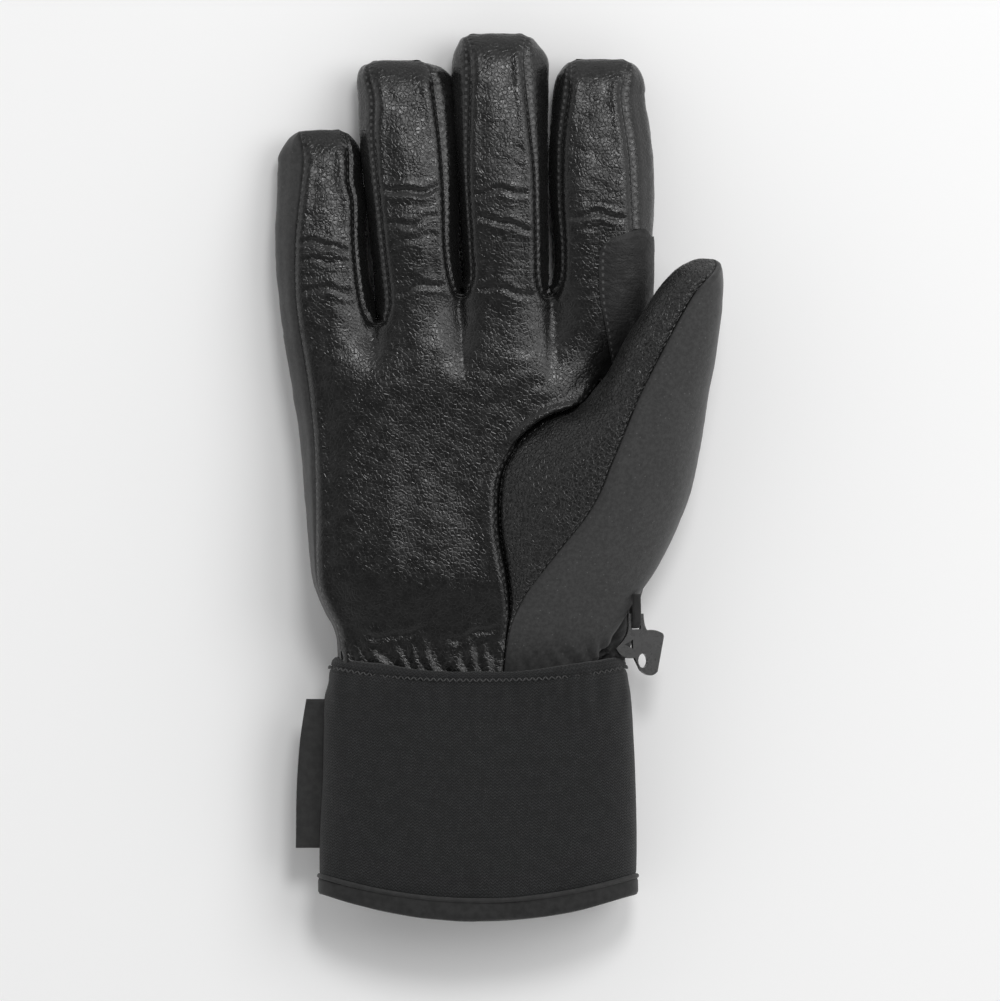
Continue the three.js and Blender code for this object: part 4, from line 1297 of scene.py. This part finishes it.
STITCH_PITCH = 1.1
STITCH_SHARE = 0.038
stitch_turns = even_turns(int(CUFF_ROUND / STITCH_PITCH), *CUFF_SIZE)[0]
stitch_at = cuff_point(STITCH_SHARE, stitch_turns, 1.35)
stitch_push = cuff_folds(stitch_at, STITCH_SHARE * CUFF_LENGTH) * smooth((stitch_at[:, 2] - 0.5) / 4)
above, below = [cuff_point(STITCH_SHARE + step, stitch_turns, 0.75) for step in (-0.01, 0.01)]
stitch_down = unit(below - above)
stitch_round = round_tangent(stitch_at)
stitch_out = np.cross(stitch_down, stitch_round)
stitch_out *= np.sign((stitch_out * (stitch_at - stitch_at.mean(0))).sum(1))[:, None]
stitch_at += stitch_out * stitch_push[:, None]
tilt = unit(stitch_down + 0.9 * (-1.0) ** np.arange(len(stitch_turns))[:, None] * stitch_round)
stitches("cuff_stitches", stitch_at, tilt, stitch_out, 1.6, 0.2, thread, "cuff")


# ---- label ----
LABEL_FROM_Y, LABEL_TO_Y = -72.4, -121.1
LABEL_EDGE = [(LABEL_FROM_Y, -56.2), (-84.0, -58.0), (-94.0, -58.9), (-104.0, -59.4),
              (LABEL_TO_Y, -59.6)]      # y and x of the tape's outer edge
LABEL_Z = 18.9


def label_panel(material):
    """A folded tape that stands out of the cuff's side seam."""
    thick, inner = 0.42, -49.2
    ys = np.linspace(LABEL_FROM_Y, LABEL_TO_Y, int(49 / GRID))
    u = np.linspace(0, 1, int(12 / GRID) + 4)
    round_end = np.array([(math.sin(a), math.cos(a)) for a in np.linspace(0.3, math.pi - 0.3, 5)])
    grid = []
    for y in ys:
        edge = along(LABEL_EDGE, np.array([y]))[0] + thick
        x = inner + (edge - inner) * u
        z = LABEL_Z + 0.5 * math.sin(y * 0.13) * u ** 2 - 0.9 * u ** 2
        top = np.column_stack([x, z + thick])
        end = np.column_stack([edge - thick * round_end[:, 0], z[-1] + thick * round_end[:, 1]])
        low = np.column_stack([x, z - thick])[::-1]
        ring = np.vstack([top, end, low])
        grid.append(np.column_stack([ring[:, 0], np.full(len(ring), y), ring[:, 1]]))
    verts, faces = grid_mesh(np.array(grid), closed=True)
    n = len(grid[0])
    faces += [list(range(n))[::-1], [(len(ys) - 1) * n + k for k in range(n)]]
    return Panel("label_tab", verts, faces, material, "label", arc=np.repeat(ys, n))


label_shape = label_panel(tape)
label = make_object("label_tape", label_shape)
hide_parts("label_tab")
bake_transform(label)

# ---- clip and its webbing ----
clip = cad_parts["clip_hook"]
clip.data.materials.clear()
clip.data.materials.append(nylon)
bevel = clip.modifiers.new("edges", "BEVEL")
bevel.width, bevel.segments = 0.75 * MM, 4
bevel.limit_method, bevel.angle_limit = "ANGLE", math.radians(32)

CLIP_AT, CLIP_TILT = np.array([51.4, -45.6, 23.5]), math.radians(12)


def webbing_loop(material):
    """A flat webbing loop round the clip's bar, back to the thumb's root."""
    radius, reach, width, thick, sides = 2.8, 7.4, 2.7, 2.0, 14
    a = np.linspace(-math.pi / 2, math.pi / 2, sides)
    bend = np.column_stack([-radius * np.cos(a), radius * np.sin(a)])
    path = np.vstack([[reach, -radius * 0.7], bend, [reach, radius * 0.7]])
    path = resample(path, 0.5)
    d = unit(np.gradient(path, axis=0))
    out = np.column_stack([d[:, 1], -d[:, 0]])
    cx, cz = rounded_box(np.arange(sides) / sides, 4.0)
    grid = np.zeros((len(path), sides, 3))
    grid[..., 0] = (cx * width / 2)[None]
    grid[..., 1] = path[:, :1] + out[:, :1] * (cz * thick / 2)[None]
    grid[..., 2] = path[:, 1:] + out[:, 1:] * (cz * thick / 2)[None]
    c, s = math.cos(CLIP_TILT), math.sin(CLIP_TILT)
    x, z = grid[..., 0] * c + grid[..., 2] * s, -grid[..., 0] * s + grid[..., 2] * c
    grid = np.stack([x, grid[..., 1], z], axis=-1) + CLIP_AT
    verts, faces = grid_mesh(grid, closed=True)
    return Panel("webbing_loop", verts, faces, material, "binding")


whole(webbing_loop(binding), "hand", "clip_loop")

# ================= studio =================
CAMERA_AT = (0.00719, -0.00752)
FRAME_HEIGHT = 0.32727      # metres of ground from the picture's top to its bottom
HORIZON, OVERHEAD = 1.36, 0.12      # brightness of the room's walls and ceiling

bpy.ops.mesh.primitive_plane_add(size=8, location=(0, 0, -0.0002))
floor = bpy.context.object
floor.name = "floor"
pale = Shader("floor_paper")
floor.data.materials.append(pale.finish(grey(247), 0.9, Specular_IOR_Level=0.1))


def area_light(name, place, size, watts):
    """A round softbox that looks at the glove."""
    data = bpy.data.lights.new(name, "AREA")
    data.shape, data.size, data.energy = "DISK", size, watts
    lamp = bpy.data.objects.new(name, data)
    bpy.context.scene.collection.objects.link(lamp)
    lamp.location = place
    lamp.rotation_euler = Vector([-c for c in place]).to_track_quat("-Z", "Y").to_euler()


area_light("top_softbox", (0.28, 0.96, 1.73), 0.56, 11.0)
area_light("side_softbox", (1.2, 0.5, 1.52), 1.3, 12.5)

world = bpy.data.worlds.new("studio_room")
bpy.context.scene.world = world
world.use_nodes = True
nodes, links = world.node_tree.nodes, world.node_tree.links
upward = nodes.new("ShaderNodeSeparateXYZ")
links.new(nodes.new("ShaderNodeTexCoord").outputs["Generated"], upward.inputs[0])
walls = nodes.new("ShaderNodeMapRange")
for k, value in enumerate((0.0, 1.0, HORIZON, OVERHEAD)):
    walls.inputs[k + 1].default_value = value
links.new(upward.outputs[2], walls.inputs[0])
links.new(walls.outputs[0], nodes["Background"].inputs[1])
nodes["Background"].inputs[0].default_value = (1, 1, 1, 1)
bpy.context.scene.view_settings.view_transform = "Standard"

camera_data = bpy.data.cameras.new("camera")
camera_data.type = "ORTHO"
camera_data.ortho_scale = FRAME_HEIGHT
camera = bpy.data.objects.new("camera", camera_data)
camera.location = (*CAMERA_AT, 1.0)
bpy.context.scene.collection.objects.link(camera)
bpy.context.scene.camera = camera
